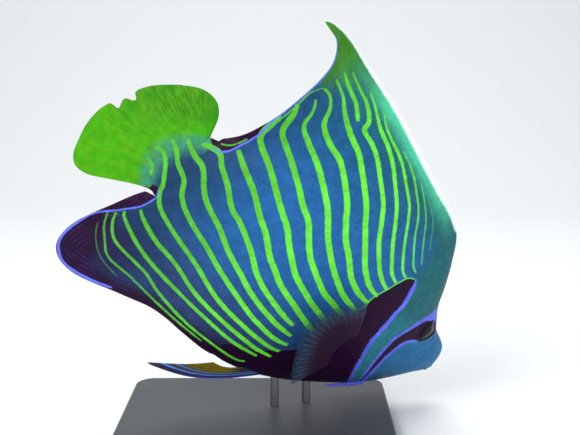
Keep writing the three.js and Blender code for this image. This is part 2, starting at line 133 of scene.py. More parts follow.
# Yellow stripes: the widest width in mm, how strong the colour is, and the course from fin to gill cover
STRIPES = [
    (0.8, 0.35, [(45, 40), (42.1, 38.6), (39.4, 36.2), (37.2, 32.6), (35.7, 30.9)]),
    (1.3, 0.6, [(49.3, 41.7), (45, 38.9), (42.2, 36.2), (39.7, 32.5), (37.5, 29.5), (35.5, 27.1)]),
    (1.6, 0.8, [(58.7, 44.4), (52.5, 42), (46.7, 37.9), (44, 34.7), (41.9, 31.1), (38.9, 27.4),
        (36.9, 25.4), (35, 24.7)]),
    (2.2, 0.95, [(68.7, 47.8), (64.7, 45.2), (56.5, 42), (49, 36.7), (46.3, 33.3), (43.4, 28.8),
        (40.7, 25.2), (38.5, 23), (36.6, 22.3)]),
    (2.9, 1, [(74.5, 49), (70.5, 47), (66.6, 44.5), (61.4, 42.3), (56.4, 39.2), (51.7, 34.8),
        (49.2, 31.7), (45.9, 27), (43, 23.5), (40.6, 21), (38, 19.8)]),
    (3.3, 1, [(80.7, 49.4), (77, 47.9), (72.9, 46.4), (69.5, 43.7), (69, 41.5), (65.2, 40.4),
        (60.8, 38.1), (54.4, 32.7), (51.9, 29.5), (48.7, 24.8), (45.6, 21.5), (43.3, 19.4), (40.8, 17.9),
        (38.5, 17.1)]),
    (4.0, 1, [(82.1, 45.5), (78.2, 43.8), (74.7, 41), (70.2, 38.4), (64.9, 36), (57.6, 30), (54.3, 26.1),
        (50.8, 22.1), (48.3, 19.3), (46.1, 17.2), (43.4, 15.4), (41.1, 14.6), (39.3, 14.4)]),
    (4.2, 1, [(82.6, 42), (80.3, 41.7), (78.2, 39.5), (76.6, 35.8), (72.4, 33.5), (67.3, 32), (61, 27),
        (58.2, 23.5), (54.7, 19.6), (51.7, 17.3), (48.6, 14.5), (46.2, 13), (43.2, 11.9), (39.8, 11.5)]),
    (4.2, 1, [(82.2, 38.9), (80.6, 36.2), (79.8, 32.3), (76, 30.1), (70.4, 27.6), (64.6, 23.7),
        (61.5, 20.9), (58.5, 17.5), (55.7, 15.1), (52.7, 12.8), (49.7, 11), (46.7, 9.4), (43.9, 8.6),
        (40, 8)]),
    (4.2, 1, [(84.4, 35.1), (83.4, 32.4), (82.7, 28.1), (80, 26.1), (75.8, 24.1), (71.1, 21.4),
        (67.8, 19.1), (64.1, 17), (61.7, 14.4), (58.6, 11.3), (55.4, 9.3), (52.2, 7.6), (49.5, 6.4),
        (46.5, 5.9), (41, 4.5)]),
    (4.3, 1, [(85.4, 30.4), (85.6, 23.9), (83.4, 21.6), (78.7, 19.7), (72.4, 15.9), (70, 14.4),
        (66.6, 12.4), (64, 10), (60.8, 7.5), (58.1, 5.5), (55.5, 4.3), (52.7, 3.3), (50.1, 2.4),
        (48.3, 2), (42, 0.5)]),
    (4.3, 1, [(87.2, 17.2), (82.5, 15.2), (77.6, 13.1), (72.8, 9.9), (69.1, 7.8), (65.2, 4.6),
        (61.5, 2.5), (58.8, 1), (55.5, -0.1), (52.4, -0.9), (49.3, -1.9), (43, -3.5)]),
    (4.0, 1, [(94.3, 11.8), (89.8, 13.5), (86.8, 11.7), (82.8, 9.6), (78.5, 6.4), (75, 5.4), (69.5, 2.6),
        (67, 0.9), (64.6, -0.8), (61.4, -2.4), (58.1, -3.4), (54.5, -4.3), (51.6, -4.9), (48.9, -5.2)]),
    (4.0, 1, [(97.6, 10), (93.5, 8.7), (89.8, 8.2), (85.7, 4.4), (82.4, 2.5), (77.7, 0.9), (72, -2),
        (66.5, -4), (62.3, -5.7), (57.5, -6.9), (54.1, -7.5), (51.4, -7.8), (47, -7.8)]),
    (3.8, 1, [(100.6, 7), (97.2, 5.8), (94.8, 4.2), (91.2, 2.8), (89, -0.3), (86.2, -2.2), (81.8, -3.7),
        (76.8, -4.9), (69.6, -7.3), (58.2, -10.3), (54.9, -10.8), (51.7, -11.2), (48.4, -11.1),
        (45.7, -10.3)]),
    (3.6, 1, [(102.8, 2.5), (99.9, 3.1), (97, 1.5), (94.2, -2.1), (93.5, -4.2), (91.2, -6.9),
        (86.9, -8.3), (82.5, -9.1), (75.3, -10.4), (65.8, -13.2), (54.9, -14.1), (48.6, -14),
        (45.8, -13.2)]),
    (3.4, 1, [(94.3, -11.2), (91.5, -12.6), (85.5, -14.2), (78.5, -14.6), (68.8, -16.5), (52.3, -16.9),
        (49.5, -16.7), (46.1, -16.1)]),
    (3.0, 0.95, [(96.8, -14.6), (95.8, -15.7), (92.6, -17), (89.4, -18), (84, -19), (75.6, -19.7),
        (65.6, -19.5), (56.4, -19.6), (48.6, -18.5)]),
    (2.3, 0.9, [(98.2, -16.1), (97.1, -18.9), (94.8, -21.2), (91.5, -22), (82.7, -22), (77.4, -23.4),
        (67.5, -24.8), (59.7, -24.3), (51.2, -23.5), (49.1, -22.1)]),
    (1.7, 0.75, [(99.7, -18), (98.2, -21.1), (95.4, -23.7), (91.8, -26.1), (84.1, -25.6), (76, -25.9),
        (67.1, -26.2), (60, -25.9)]),
    (0.9, 0.4, [(99.9, -21.9), (98, -24.6), (95, -26.9), (91.8, -27.9), (86.8, -28)]),
]

# The rear edge of the dark patch behind the gill cover
PATCH_REAR = [(34.2, 23.4), (36.2, 22.5), (37.5, 20.1), (38.5, 17.4), (39.6, 14.5), (40, 12.5)]
# Short stripes and the thin yellow lines that join the stripes' ends
HEMS = [
    (2.8, 1, [(81.9, 48), (78.7, 46.3), (74.7, 44.6), (71.4, 41.9)]),
    (2.6, 1, [(102.2, -1), (99.7, -1.3), (98.1, -3.4)]),
    (1.0, 0.9, [*PATCH_REAR, (39.8, 9)]),
    (1.2, 0.85, [(82.6, 42), (83.5, 40.6), (84.2, 38.6), (84.3, 36), (84.4, 33.4), (84.9, 28.7),
        (85.2, 24.2)]),
    (1.1, 0.9, [(91.1, 15.1), (90.1, 15.6), (88.9, 16.7), (88.2, 17.9), (87.2, 20.6)]),
    (0.9, 0.8, [(96.2, -4.6), (96.8, -6.2), (97.3, -7.8)]),
]

# The blue lines' courses: round the gill cover, over and under the mask, along the rear of the dorsal and
# anal fins, and round the anal fin's corner. With their widths in mm
GILL_LINE = [(34.2, 23.6), (33.2, 22.2), (32.2, 19), (31.6, 16.3), (31.7, 13.3), (31.2, 10.4), (31, 6),
             (30.5, 3.4), (29.6, 1), (28, -2.2), (26, -5.8), (22.6, -9.8), (19.8, -12.2)]
UPPER_MASK_LINE = [(15.6, 17.9), (18.6, 17.6), (21.4, 16.2), (22.8, 14.2), (24.5, 11.2), (25.6, 8.1),
                   (25.6, 5.5), (25.2, 2.6), (24.5, 0), (23.5, -2.6), (22, -5.4), (20.4, -7.9)]
LOWER_MASK_LINE = [(17.4, 10.3), (20.1, 9.4), (21.4, 8.2), (22.1, 6.4), (22.4, 3.9), (22.4, 1.8),
                   (21.8, -0.7), (21, -3.4), (19.7, -6.4), (18, -9.2)]
DORSAL_LINE = [(90.4, 52.5), (87.9, 51.6), (85.2, 47.9), (84.5, 42.7), (84.9, 36), (85.6, 30.3),
               (86, 26.6), (85.8, 24.4), (86.1, 22.5), (86.7, 20.2), (87.4, 18.1), (88.1, 15.9),
               (89.2, 14.2), (90.5, 13.4), (91.8, 13.3)]
ANAL_LINE = [(94.4, -3.9), (93.7, -5), (93.4, -6.6), (94.1, -9.1), (94.8, -10.9), (96.6, -13.5),
             (98.4, -16), (100.5, -18.6), (101.9, -20.6), (103.1, -23.3)]
CORNER_LINE = [(102.6, -21.8), (103.1, -23.3), (103.9, -26.3), (104.4, -29.2), (104.4, -31.7),
               (103.5, -34.1), (100.8, -35.9), (98.4, -36.1), (96, -35.6), (93.5, -34.8), (90.9, -33.8),
               (88.4, -32.6), (85.7, -31.2)]
BLUE_LINES = [(2.5, GILL_LINE), (2.7, UPPER_MASK_LINE), (2.4, LOWER_MASK_LINE), (1.2, DORSAL_LINE),
              (1.1, ANAL_LINE), (2.0, CORNER_LINE)]
# A blue wedge across the forehead that narrows into the upper line
FOREHEAD_WEDGE = [(12.6, 19), (18.6, 24), (18.4, 20.5), (20.5, 19.1), (22.2, 16.8), (23.8, 14.7),
                  (24.7, 12.2), (23.2, 13.8), (21.4, 16), (18.6, 16.8), (15, 16.4), (13, 16.6)]
MASK = [(9.6, 17.4), (13.4, 18.4), (15, 17), *UPPER_MASK_LINE[2:-1], (20, -8.4), (18.2, -9.4),
        *LOWER_MASK_LINE[-2:0:-1], (17.5, 10.3), (14.3, 12.1), (11.4, 14.1)]
PATCH = [*PATCH_REAR, (39.6, 6), (39.6, 0), (40.4, -4.5), (42.6, -9), (46, -13), (50, -17), (56, -21),
         (60, -30), (34, -30), (15, -14), *GILL_LINE[:0:-1]]
DORSAL_WEDGE = [(86.2, 27), (85.8, 24.4), (86, 22.5), (86.6, 20.2), *DORSAL_LINE[-5:], (93.7, 14),
                (92.6, 16.6), (90, 22), (87.8, 28)]
ANAL_WEDGE = [*ANAL_LINE[:-1], (103.5, -20), (101, -13), (97.4, -6.4), (95.7, -3.9)]
# The white front edge of the dorsal fin: the station where it starts, and its width in mm at some stations
EDGE_START = 30.5
WHITE_EDGE = [(31, 0.3), (35, 1), (39, 2), (43, 2.8), (50, 3.2), (56, 2.9), (66, 2.1), (76, 1.8),
              (80, 1.4), (84, 1), (92, 0.6)]


def srgb(red, green, blue):
    """The linear colour that shaders use, from its display values of 0 to 255."""
    return tuple((c / 255 / 12.92) if c <= 10 else ((c / 255 + 0.055) / 1.055) ** 2.4
                 for c in (red, green, blue))


TINTS = {name: srgb(*values) for name, values in {
    # The rear tint is the body's blue in painted shade, laid toward the tail
    "body": (34, 94, 154), "upper": (24, 84, 120), "rear": (24, 52, 84), "violet": (42, 60, 106),
    "breast": (38, 10, 42), "nape": (32, 98, 106), "cheek": (36, 118, 134), "snout": (34, 104, 152),
    "chin": (38, 88, 126), "dark": (36, 5, 42), "stripe": (104, 222, 56), "line": (96, 108, 228),
    "tail": (58, 154, 0), "tail_rim": (44, 126, 4), "tail_base": (56, 138, 104), "tail_streak": (92, 150, 0),
    "edge": (232, 250, 244), "under_edge": (84, 206, 160), "anal": (34, 10, 42), "net": (56, 36, 120),
    "filament": (56, 116, 34), "fin_green": (54, 130, 78), "anal_blue": (34, 32, 70),
    "pupil": (3, 2, 5), "iris_ring": (56, 36, 40), "iris": (20, 8, 28), "iris_fleck": (30, 16, 44),
    "iris_rim": (16, 5, 22), "lip": (44, 104, 142), "lip_pale": (66, 128, 160), "spine_dull": (70, 60, 190),
    "ray_root": (40, 12, 42), "ray_middle": (82, 76, 98), "ray_tip": (50, 92, 106), "web_root": (38, 11, 40),
    "web_tip": (36, 66, 92), "pelvic": (52, 40, 70), "pelvic_rear": (104, 92, 16),
    "pelvic_root": (40, 34, 56), "base": (52, 54, 58), "base_mottle": (68, 70, 76), "rod": (150, 152, 157),
    "rod_mottle": (128, 130, 136),
}.items()}


def length_setting(name, description, default):
    """A setting in metres."""
    return FloatProperty(name=name, description=description, default=default, unit="LENGTH")


def colour_setting(name, description, tint):
    """A setting that starts as one of the tints."""
    return FloatVectorProperty(
        name=name, description=description, default=TINTS[tint], size=3, subtype="COLOR")


class FishSettings(bpy.types.PropertyGroup):
    """Sizes and colours of the fish"""
    scale_pitch: length_setting("Scale pitch", "Distance between body scales", 0.00212)
    head_pitch: length_setting("Head scale pitch", "Distance between the scales of the head", 0.00125)
    scale_lift: length_setting("Scale lift", "How far a scale's free edge stands off the skin", 0.0001)
    ray_relief: length_setting("Ray relief", "Height of a fin ray over its membrane", 0.00022)
    seed: IntProperty(name="Seed", description="Start of the random draws", default=5)
    stripe_colour: colour_setting("Stripes", "Colour of the stripes", "stripe")
    line_colour: colour_setting("Lines", "Colour of the lines round the mask and gill cover", "line")
    dark_colour: colour_setting("Mask", "Colour of the mask and shoulder patch", "dark")


class StandSettings(bpy.types.PropertyGroup):
    """Finishes of the stand"""
    base_colour: colour_setting("Base", "Colour of the base", "base")
    rod_colour: colour_setting("Rods", "Colour of the rods", "rod")


def ramp(low, high, value):
    """0 below low, 1 above high and a smooth step between them."""
    t = np.clip((value - low) / (high - low), 0, 1)
    return t * t * (3 - 2 * t)


def bump_at(value, centre, spread):
    """A smooth bump of height 1 round centre."""
    return np.exp(-(((value - centre) / spread) ** 2))


def profile(points):
    """A curve through (station, value) points that never overshoots, steepest at its start as a snout is."""
    stations, values = np.array(points, float).T
    knots = np.sqrt(stations - stations[0])
    slope = np.diff(values) / np.diff(knots)
    tangent = np.concatenate([slope[:1], np.zeros(len(slope) - 1), slope[-1:]])
    same_way = slope[:-1] * slope[1:] > 0
    total = np.where(same_way, slope[:-1] + slope[1:], 1)
    tangent[1:-1] = np.where(same_way, 2 * slope[:-1] * slope[1:] / total, 0)

    def value_at(x):
        at = np.sqrt(np.clip(x - stations[0], 0, knots[-1] ** 2))
        i = np.clip(np.searchsorted(knots, at) - 1, 0, len(knots) - 2)
        span = knots[i + 1] - knots[i]
        t = (at - knots[i]) / span
        ends = (2 * t**3 - 3 * t**2 + 1) * values[i] + (3 * t**2 - 2 * t**3) * values[i + 1]
        return ends + span * ((t**3 - 2 * t**2 + t) * tangent[i] + (t**3 - t**2) * tangent[i + 1])

    return value_at


back_at = profile(BACK)
belly_at = profile(BELLY)
half_width_at = profile(HALF_WIDTH)
broadest_at = profile(BROADEST)


def curve(points, steps):
    """A smooth path through a few points, with this many steps between two of them."""
    known = np.array(points, float)
    padded = np.vstack([known[:1], known, known[-1:]])
    t = np.linspace(0, 1, steps, endpoint=False)[:, None]
    spans = []
    for a, b, c, d in zip(padded, padded[1:], padded[2:], padded[3:]):
        spans.append(0.5 * (2 * b + (c - a) * t + (2 * a - 5 * b + 4 * c - d) * t**2
                            + (3 * b - a - 3 * c + d) * t**3))
    return np.vstack([*spans, known[-1:]])


def run_along(path):
    """How far along a path each of its points lies."""
    return np.concatenate([[0], np.cumsum(np.linalg.norm(np.diff(path, axis=0), axis=1))])


def share_along(path):
    """Each path point's share of the whole length."""
    run = run_along(path)
    return run / run[-1]


def point_along(path, share):
    """Points at given shares of a path's length."""
    known = share_along(path)
    return np.stack([np.interp(share, known, path[:, i]) for i in range(path.shape[1])], -1)


def offset_from(points, path):
    """How far points are from a path, negative on its right side, and at which share they are nearest."""
    nearest = np.full(len(points), np.inf)
    share = np.zeros(len(points))
    known = share_along(path)
    for start, end, low, high in zip(path, path[1:], known, known[1:]):
        step = end - start
        x, y = (points - start).T
        t = np.clip((x * step[0] + y * step[1]) / max(step @ step, 1e-12), 0, 1)
        gap = np.hypot(x - t * step[0], y - t * step[1])
        nearer = gap < np.abs(nearest)
        side = np.where(step[0] * y < step[1] * x, -1.0, 1.0)
        nearest[nearer] = (gap * side)[nearer]
        share[nearer] = (low + t * (high - low))[nearer]
    return np.where((share <= 0) | (share >= 1), np.abs(nearest), nearest), share


def distance_to(points, path):
    """How far points are from a path, and at which share of it they are nearest."""
    nearest, share = offset_from(points, path)
    return np.abs(nearest), share


def near(points, path, reach):
    """Which points lie in the box round a path."""
    low, high = path.min(0) - reach, path.max(0) + reach
    return np.flatnonzero(((points > low) & (points < high)).all(1))


def inside(points, outline):
    """Which points lie within a closed outline."""
    found = np.zeros(len(points), bool)
    for (x0, y0), (x1, y1) in zip(outline, np.roll(outline, -1, axis=0)):
        if y0 != y1:
            crosses = (points[:, 1] > y0) != (points[:, 1] > y1)
            found ^= crosses & (points[:, 0] < x0 + (points[:, 1] - y0) * (x1 - x0) / (y1 - y0))
    return found


def region(points, outline):
    """Distance in mm to a closed outline, negative within it."""
    closed = np.array([*outline, outline[0]], float)
    result = np.full(len(points), FAR)
    close = near(points, closed, FAR * MM)
    gap, _ = distance_to(points[close], closed)
    result[close] = np.where(inside(points[close], closed[:-1]), -gap, gap) / MM
    return result


def gap_to(points, path, close):
    """Distance in mm to an open path for the points chosen as close, and far for the others."""
    gap = np.full(len(points), OUT_OF_REACH)
    gap[close] = distance_to(points[close], path)[0] / MM
    return gap


def from_spot(points, spot):
    """How far points are from one spot."""
    return np.hypot(points[:, 0] - spot[0], points[:, 1] - spot[1])


FRONT_EDGE = curve(DORSAL_MARGIN[1:13], 5)
ANAL_EDGE = curve(ANAL_MARGIN[5:16], 5)
SNOUT_REGION = [(11.4, 14.1), (14.3, 12.1), *LOWER_MASK_LINE, (14, -20), (-6, -4), (-6, 12), (6, 18)]


def ground(x, y, front):
    """The fish's colour without its stripes, lines and dark patches.

    Stations x and levels y are the straight fish's, and front is the gap in mm to the dorsal fin's front.
    Each zone's tint is laid over the ones before it.
    """
    over_belly = y - belly_at(x) - np.interp(x, [36, 46, 60], [20, 10, 4])
    over_margin = y - np.interp(x, [54, 76, 81, 91, 101], [-27.4, -28.3, -30.1, -34.4, -36.5])
    anal_rim = np.maximum(ramp(0, 5, x - 96 - 0.3 * (y + 16)), ramp(5.5, 1.5, over_margin))
    head = ramp(37.5, 32.5, x)
    snout = ramp(3, -3, region(np.stack([x, y], -1), SNOUT_REGION))
    upper = y > 12
    crest = np.maximum(ramp(13, 4, front) * ramp(56, 74, x), ramp(44, 48.5, y) * ramp(74, 82, x))
    past_base = x - (103.2 - 0.056 * (y - 1.5) ** 2)
    tail = (x > 92) & (y > -19) & (x - 95 > -1.2 * (y + 6))
    zones = (
        ("upper", 0.8 * ramp(18, 40, y)),
        # Painted shade: the body's blue darkens toward the tail, where the light falls off
        ("violet", ramp(4, -20, y + 0.12 * (x - 60))),
        ("rear", 0.9 * ramp(70, 94, x)),
        ("breast", ramp(4, -3, over_belly) * ramp(68, 56, x)),
        ("anal_blue", ramp(-12, -22, y) * ramp(80, 93, x)),
        ("anal", anal_rim * (x > 52) * ramp(-4, -9, y)),
        ("nape", np.maximum(head, ramp(30, 10, front) * upper)),
        ("cheek", head * ramp(18, 8, y)),
        ("snout", snout),
        ("chin", snout * ramp(2, -6, y)),
        ("fin_green", 0.9 * crest * upper),
        ("under_edge", 0.9 * ramp(14, 2, front) * ramp(29, 44, x) * ramp(80, 66, x) * upper),
        ("filament", ramp(78, 85, x) * ramp(39, 45, y)),
        ("tail_base", ramp(-8, -2.5, past_base) * tail),
        ("tail", ramp(-2.4, 1.2, past_base) * tail),
        ("tail_rim", ramp(1, 9, past_base) * ramp(-4, 12, y) * tail),
    )
    colour = np.tile(TINTS["body"], (len(x), 1))
    for name, amount in zones:
        colour += (np.array(TINTS[name]) - colour) * np.clip(amount, 0, 1)[:, None]
    return colour


def drawn(points, courses, tip, rise):
    """The nearest line's signed distance in mm, its half width, how far its rim is, and its number."""
    aside = np.full(len(points), FAR)
    half = np.zeros(len(points))
    rim = np.full(len(points), FAR)
    number = np.zeros(len(points), int)
    for index, (width, course) in enumerate(courses):
        path = curve(course, 5)
        close = near(points, path, max(3 * width, 6) * MM)
        gap, share = offset_from(points[close], path)
        if course[0][1] > FIN_LEVEL:
            slim = 1 - ramp(0, rise, share)
        else:
            slim = 0.5 * (1 - ramp(0, 0.08, share))
        reach = width / 2 * (1 - (1 - tip) * np.maximum(slim, 0.5 * ramp(0.92, 1, share)))
        away = np.abs(gap) / MM - reach + OPEN_END * ((share <= 0) | (share >= 1))
        nearer = away < rim[close]
        chosen = close[nearer]
        aside[chosen] = gap[nearer] / MM
        half[chosen] = reach[nearer]
        rim[chosen] = away[nearer]
        number[chosen] = index
    return aside, half, rim, number


def markings(x, y):
    """The colours and the signed distances in mm, negative inside, that the skin's material reads."""
    points = np.stack([x, y], -1)
    # Painted shade: the stripes are dimmed by up to 0.4 toward the tail, where the light falls off
    values = {"stripe_painted_shade": 1 - 0.4 * ramp(60, 84, x)}

    def draw(name, courses, tip, rise):
        *parts, number = drawn(points, courses, tip, rise)
        values.update(zip((name + "_aside", name + "_half", name + "_rim"), parts))
        return number

    # Neighbouring stripes are kept apart, so that no false line appears where two of them are close
    for name, group in (("odd", STRIPES[::2]), ("even", STRIPES[1::2]), ("hem", HEMS)):
        number = draw(name, [(STRIPE_FIT * width, course) for width, _, course in group], 0.4, 0.26)
        values[name] = np.array([force for _, force, _ in group])[number]
    draw("line", BLUE_LINES[::2], 0.1, 0.08)
    draw("trim", BLUE_LINES[1::2], 0.1, 0.08)
    values["wedge"] = region(points, FOREHEAD_WEDGE)
    values["dark"] = np.minimum.reduce([region(points, o) for o in (MASK, PATCH, DORSAL_WEDGE, ANAL_WEDGE)])
    front = gap_to(points, FRONT_EDGE, near(points, FRONT_EDGE, 12))
    values["edge"] = np.where(x > EDGE_START, front - np.interp(x, *np.array(WHITE_EDGE).T), FAR)
    close = near(points, ANAL_EDGE, 9)
    netted = (x > 80) & (x < 98.5 - 0.95 * (y + 8)) & (y < -7)
    values["net"] = gap_to(points, ANAL_EDGE, close[netted[close]])
    values["tail"] = ramp(95, 103, x) * ramp(-20, -17, y) * (y < 30)
    values["ground"] = ground(x, y, front)
    return values


BEND_STATIONS = np.linspace(0, 140, 2801)
BEND_ANGLES = TURN * (np.minimum(BEND_STATIONS, TURN_END) / 100) ** 2


def running_sum(values):
    """The running integral of values over the bend's stations."""
    step = BEND_STATIONS[1] - BEND_STATIONS[0]
    return np.concatenate([[0], np.cumsum((values[1:] + values[:-1]) / 2 * step)])


BEND_ALONG = running_sum(np.cos(BEND_ANGLES))
BEND_ASIDE = running_sum(np.sin(BEND_ANGLES))


def bend(x, y, w):
    """A point of the straight fish, moved to the bent fish, in metres."""
    angle = np.interp(x, BEND_STATIONS, BEND_ANGLES)
    along = np.interp(x, BEND_STATIONS, BEND_ALONG) + np.minimum(x, 0)
    aside = np.interp(x, BEND_STATIONS, BEND_ASIDE)
    return np.stack([along + w * np.sin(angle), w * np.cos(angle) - aside, y + 0 * x], -1) * PERCENT


def skin_half(x, y):
    """Half of the body's width at a station and level."""
    middle = broadest_at(x)
    reach = np.where(y > middle, back_at(x) - middle, middle - belly_at(x))
    rise = np.clip(np.abs(y - middle) / np.maximum(reach, 1e-9), 0, 1)
    return half_width_at(x) * np.sqrt(1 - rise**2) ** KEEL_SHARPNESS


def skin_normal(x, y):
    """The outward direction of the right flank of the straight fish."""
    step = 0.4
    along = (skin_half(x + step, y) - skin_half(x - step, y)) / (2 * step)
    upward = (skin_half(x, y + step) - skin_half(x, y - step)) / (2 * step)
    normal = np.array([-along, -upward, 1.0])
    return normal / np.linalg.norm(normal)


def eye_seat(side):
    """The centre of an eyeball on the straight fish, and the direction in which it looks."""
    normal = skin_normal(*EYE)
    seat = np.array([*EYE, float(skin_half(*EYE))]) - EYE_SINK * normal
    return seat * (1, 1, side), normal * (1, 1, side)


EYE_CENTRE = np.array(sum(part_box("eye_right"), Vector())) / 2
ORIGIN = EYE_CENTRE - bend(*eye_seat(1)[0]) @ ROTATION.T


def placed(x, y, w):
    """A point of the straight fish in its place over the stand, in metres."""
    return bend(x, y, w) @ ROTATION.T + ORIGIN


def on_side(points, side):
    """Points of the straight fish's right side, placed on one of its sides."""
    return placed(points[..., 0], points[..., 1], side * points[..., 2])


# The rear edges of the gill cover and the cheek plate: the course, the shares of it over which the edge
# comes and goes, and in mm its crest's height and reach and its groove's depth and half width
PLATE_EDGES = [
    (GILL_LINE, (0, 0.08), (1, 0.9), 0.75, 7, 0.9, 1.1),
    (LOWER_MASK_LINE, (0.1, 0.3), (1, 0.95), 0.4, 3, 0.45, 1.0),
]
# Heights and depths in mm
ORBIT_LIP = 0.75
SOCKET_DEPTH = 3.4
NOSTRIL_LIP = 0.4
NOSTRIL_DEPTH = 1.0
MOUTH_DEPTH = 0.9


def plate_edge(points, course, starts, ends, crest, reach, groove, width):
    """The rear edge of a bony plate along a course, in mm: a crest ahead of it and a groove behind."""
    path = curve(course, 5)
    gap, share = distance_to(points, path)
    gap = gap / MM
    ahead = points[:, 0] < np.interp(points[:, 1], path[::-1, 1], path[::-1, 0])
    faded = ramp(*starts, share) * ramp(*ends, share)
    return faded * np.where(ahead, crest * np.exp(-gap / reach), -groove * bump_at(gap, 1.3, width))


def relief(x, y):
    """The flank's own forms in mm: gill cover, cheek, orbit, nostrils and mouth."""
    points = np.stack([x.ravel(), y.ravel()], -1)
    height = sum(plate_edge(points, *plate) for plate in PLATE_EDGES)
    from_eye = from_spot(points, EYE) / MM
    orbit = ORBIT / MM
    socket = SOCKET_DEPTH * ramp(orbit, orbit - 2.2, from_eye)
    height += ORBIT_LIP * bump_at(from_eye, orbit + 0.7, 1.1) - socket
    for nostril in NOSTRILS:
        from_hole = from_spot(points, nostril) / MM
        hole = NOSTRIL_DEPTH * bump_at(from_hole, 0, 0.75)
        height += NOSTRIL_LIP * bump_at(from_hole, 1.3, 0.6) - hole
    slit, _ = distance_to(points, np.array(MOUTH_SLIT))
    height -= MOUTH_DEPTH * bump_at(slit / MM, 0, 0.7) * (points[:, 0] < 6)
    return height.reshape(x.shape)


def smooth_max(a, b, blend):
    """The larger of two widths, with a fillet where they cross."""
    return 0.5 * (a + b + np.sqrt((a - b) ** 2 + blend**2))


def fillet(body, fin, away):
    """The width of body and fin together, with a fillet that fades away from the ridge between them."""
    return smooth_max(body, fin, ROOT_FILLET * np.clip(1 - away / 3, 0, 1) ** 2)


def ray_wave(share, rays):
    """Rays as rounded ridges across a fin."""
    return (0.5 + 0.5 * np.cos(2 * np.pi * rays * share)) ** 2


def closing(t, start):
    """1 until start, then a rounded fall to 0 at 1."""
    return np.sqrt(np.clip(1 - (np.clip((t - start) / (1 - start), 0, 1)) ** 2, 0, 1))


def dorsal_bow(s):
    """How the middle of each dorsal ray is pushed, so that the rays turn into the fin's filament."""
    turn = bump_at(s, 0.626, 0.07)
    return 4.4 * turn - 2 * bump_at(s, 0.76, 0.09), 11.3 * turn


def anal_bow(s):
    """How the middle of each anal ray is pushed."""
    return -2.4 * np.sin(np.pi * s) * ramp(0.4, 0.7, s), 0 * s


def fin_rows(x, edge_at, root, margin, rays, rows, thickness, bow, relief_mm):
    """Rows of a fin that rises from the body's edge, for each body column: x, y, half width and sway."""
    sign = 1 if margin[1][1] > 0 else -1
    s = np.clip((x - root[0]) / (root[1] - root[0]), 0, 1)[:, None]
    grown = ramp(0, 0.02, s) * ramp(1, 0.98, s)
    t = (1 - (1 - np.linspace(0, 1, rows + 1)[1:]) ** 1.3)[None, :]
    tip = point_along(curve(margin, 40), s[:, 0])
    edge = edge_at(x)[:, None]
    bow_x, bow_y = bow(s)
    fx = x[:, None] + grown * (t * (tip[:, :1] - x[:, None]) + 2 * t * (1 - t) * bow_x)
    fy = edge + grown * (t * (tip[:, 1:] - edge) + 2 * t * (1 - t) * bow_y)
    ridge = edge_at(fx)
    fy = sign * np.maximum(sign * fy, sign * ridge)
    wave = ray_wave(s, rays) * ramp(0.08, 0.4, t) * ramp(1, 0.9, t)
    half = (RIM_HALF + thickness * (1 - t) ** 1.5 + relief_mm * wave) * MM
    half = grown * fillet(0, half, np.abs(fy - ridge)) * closing(t, ROUNDED_FROM)
    sway = FIN_SWAY * s**2 * t**2 * ramp(1, 0.85, s) * grown
    return fx, fy, half, sway, t * grown, s * rays + 0 * t


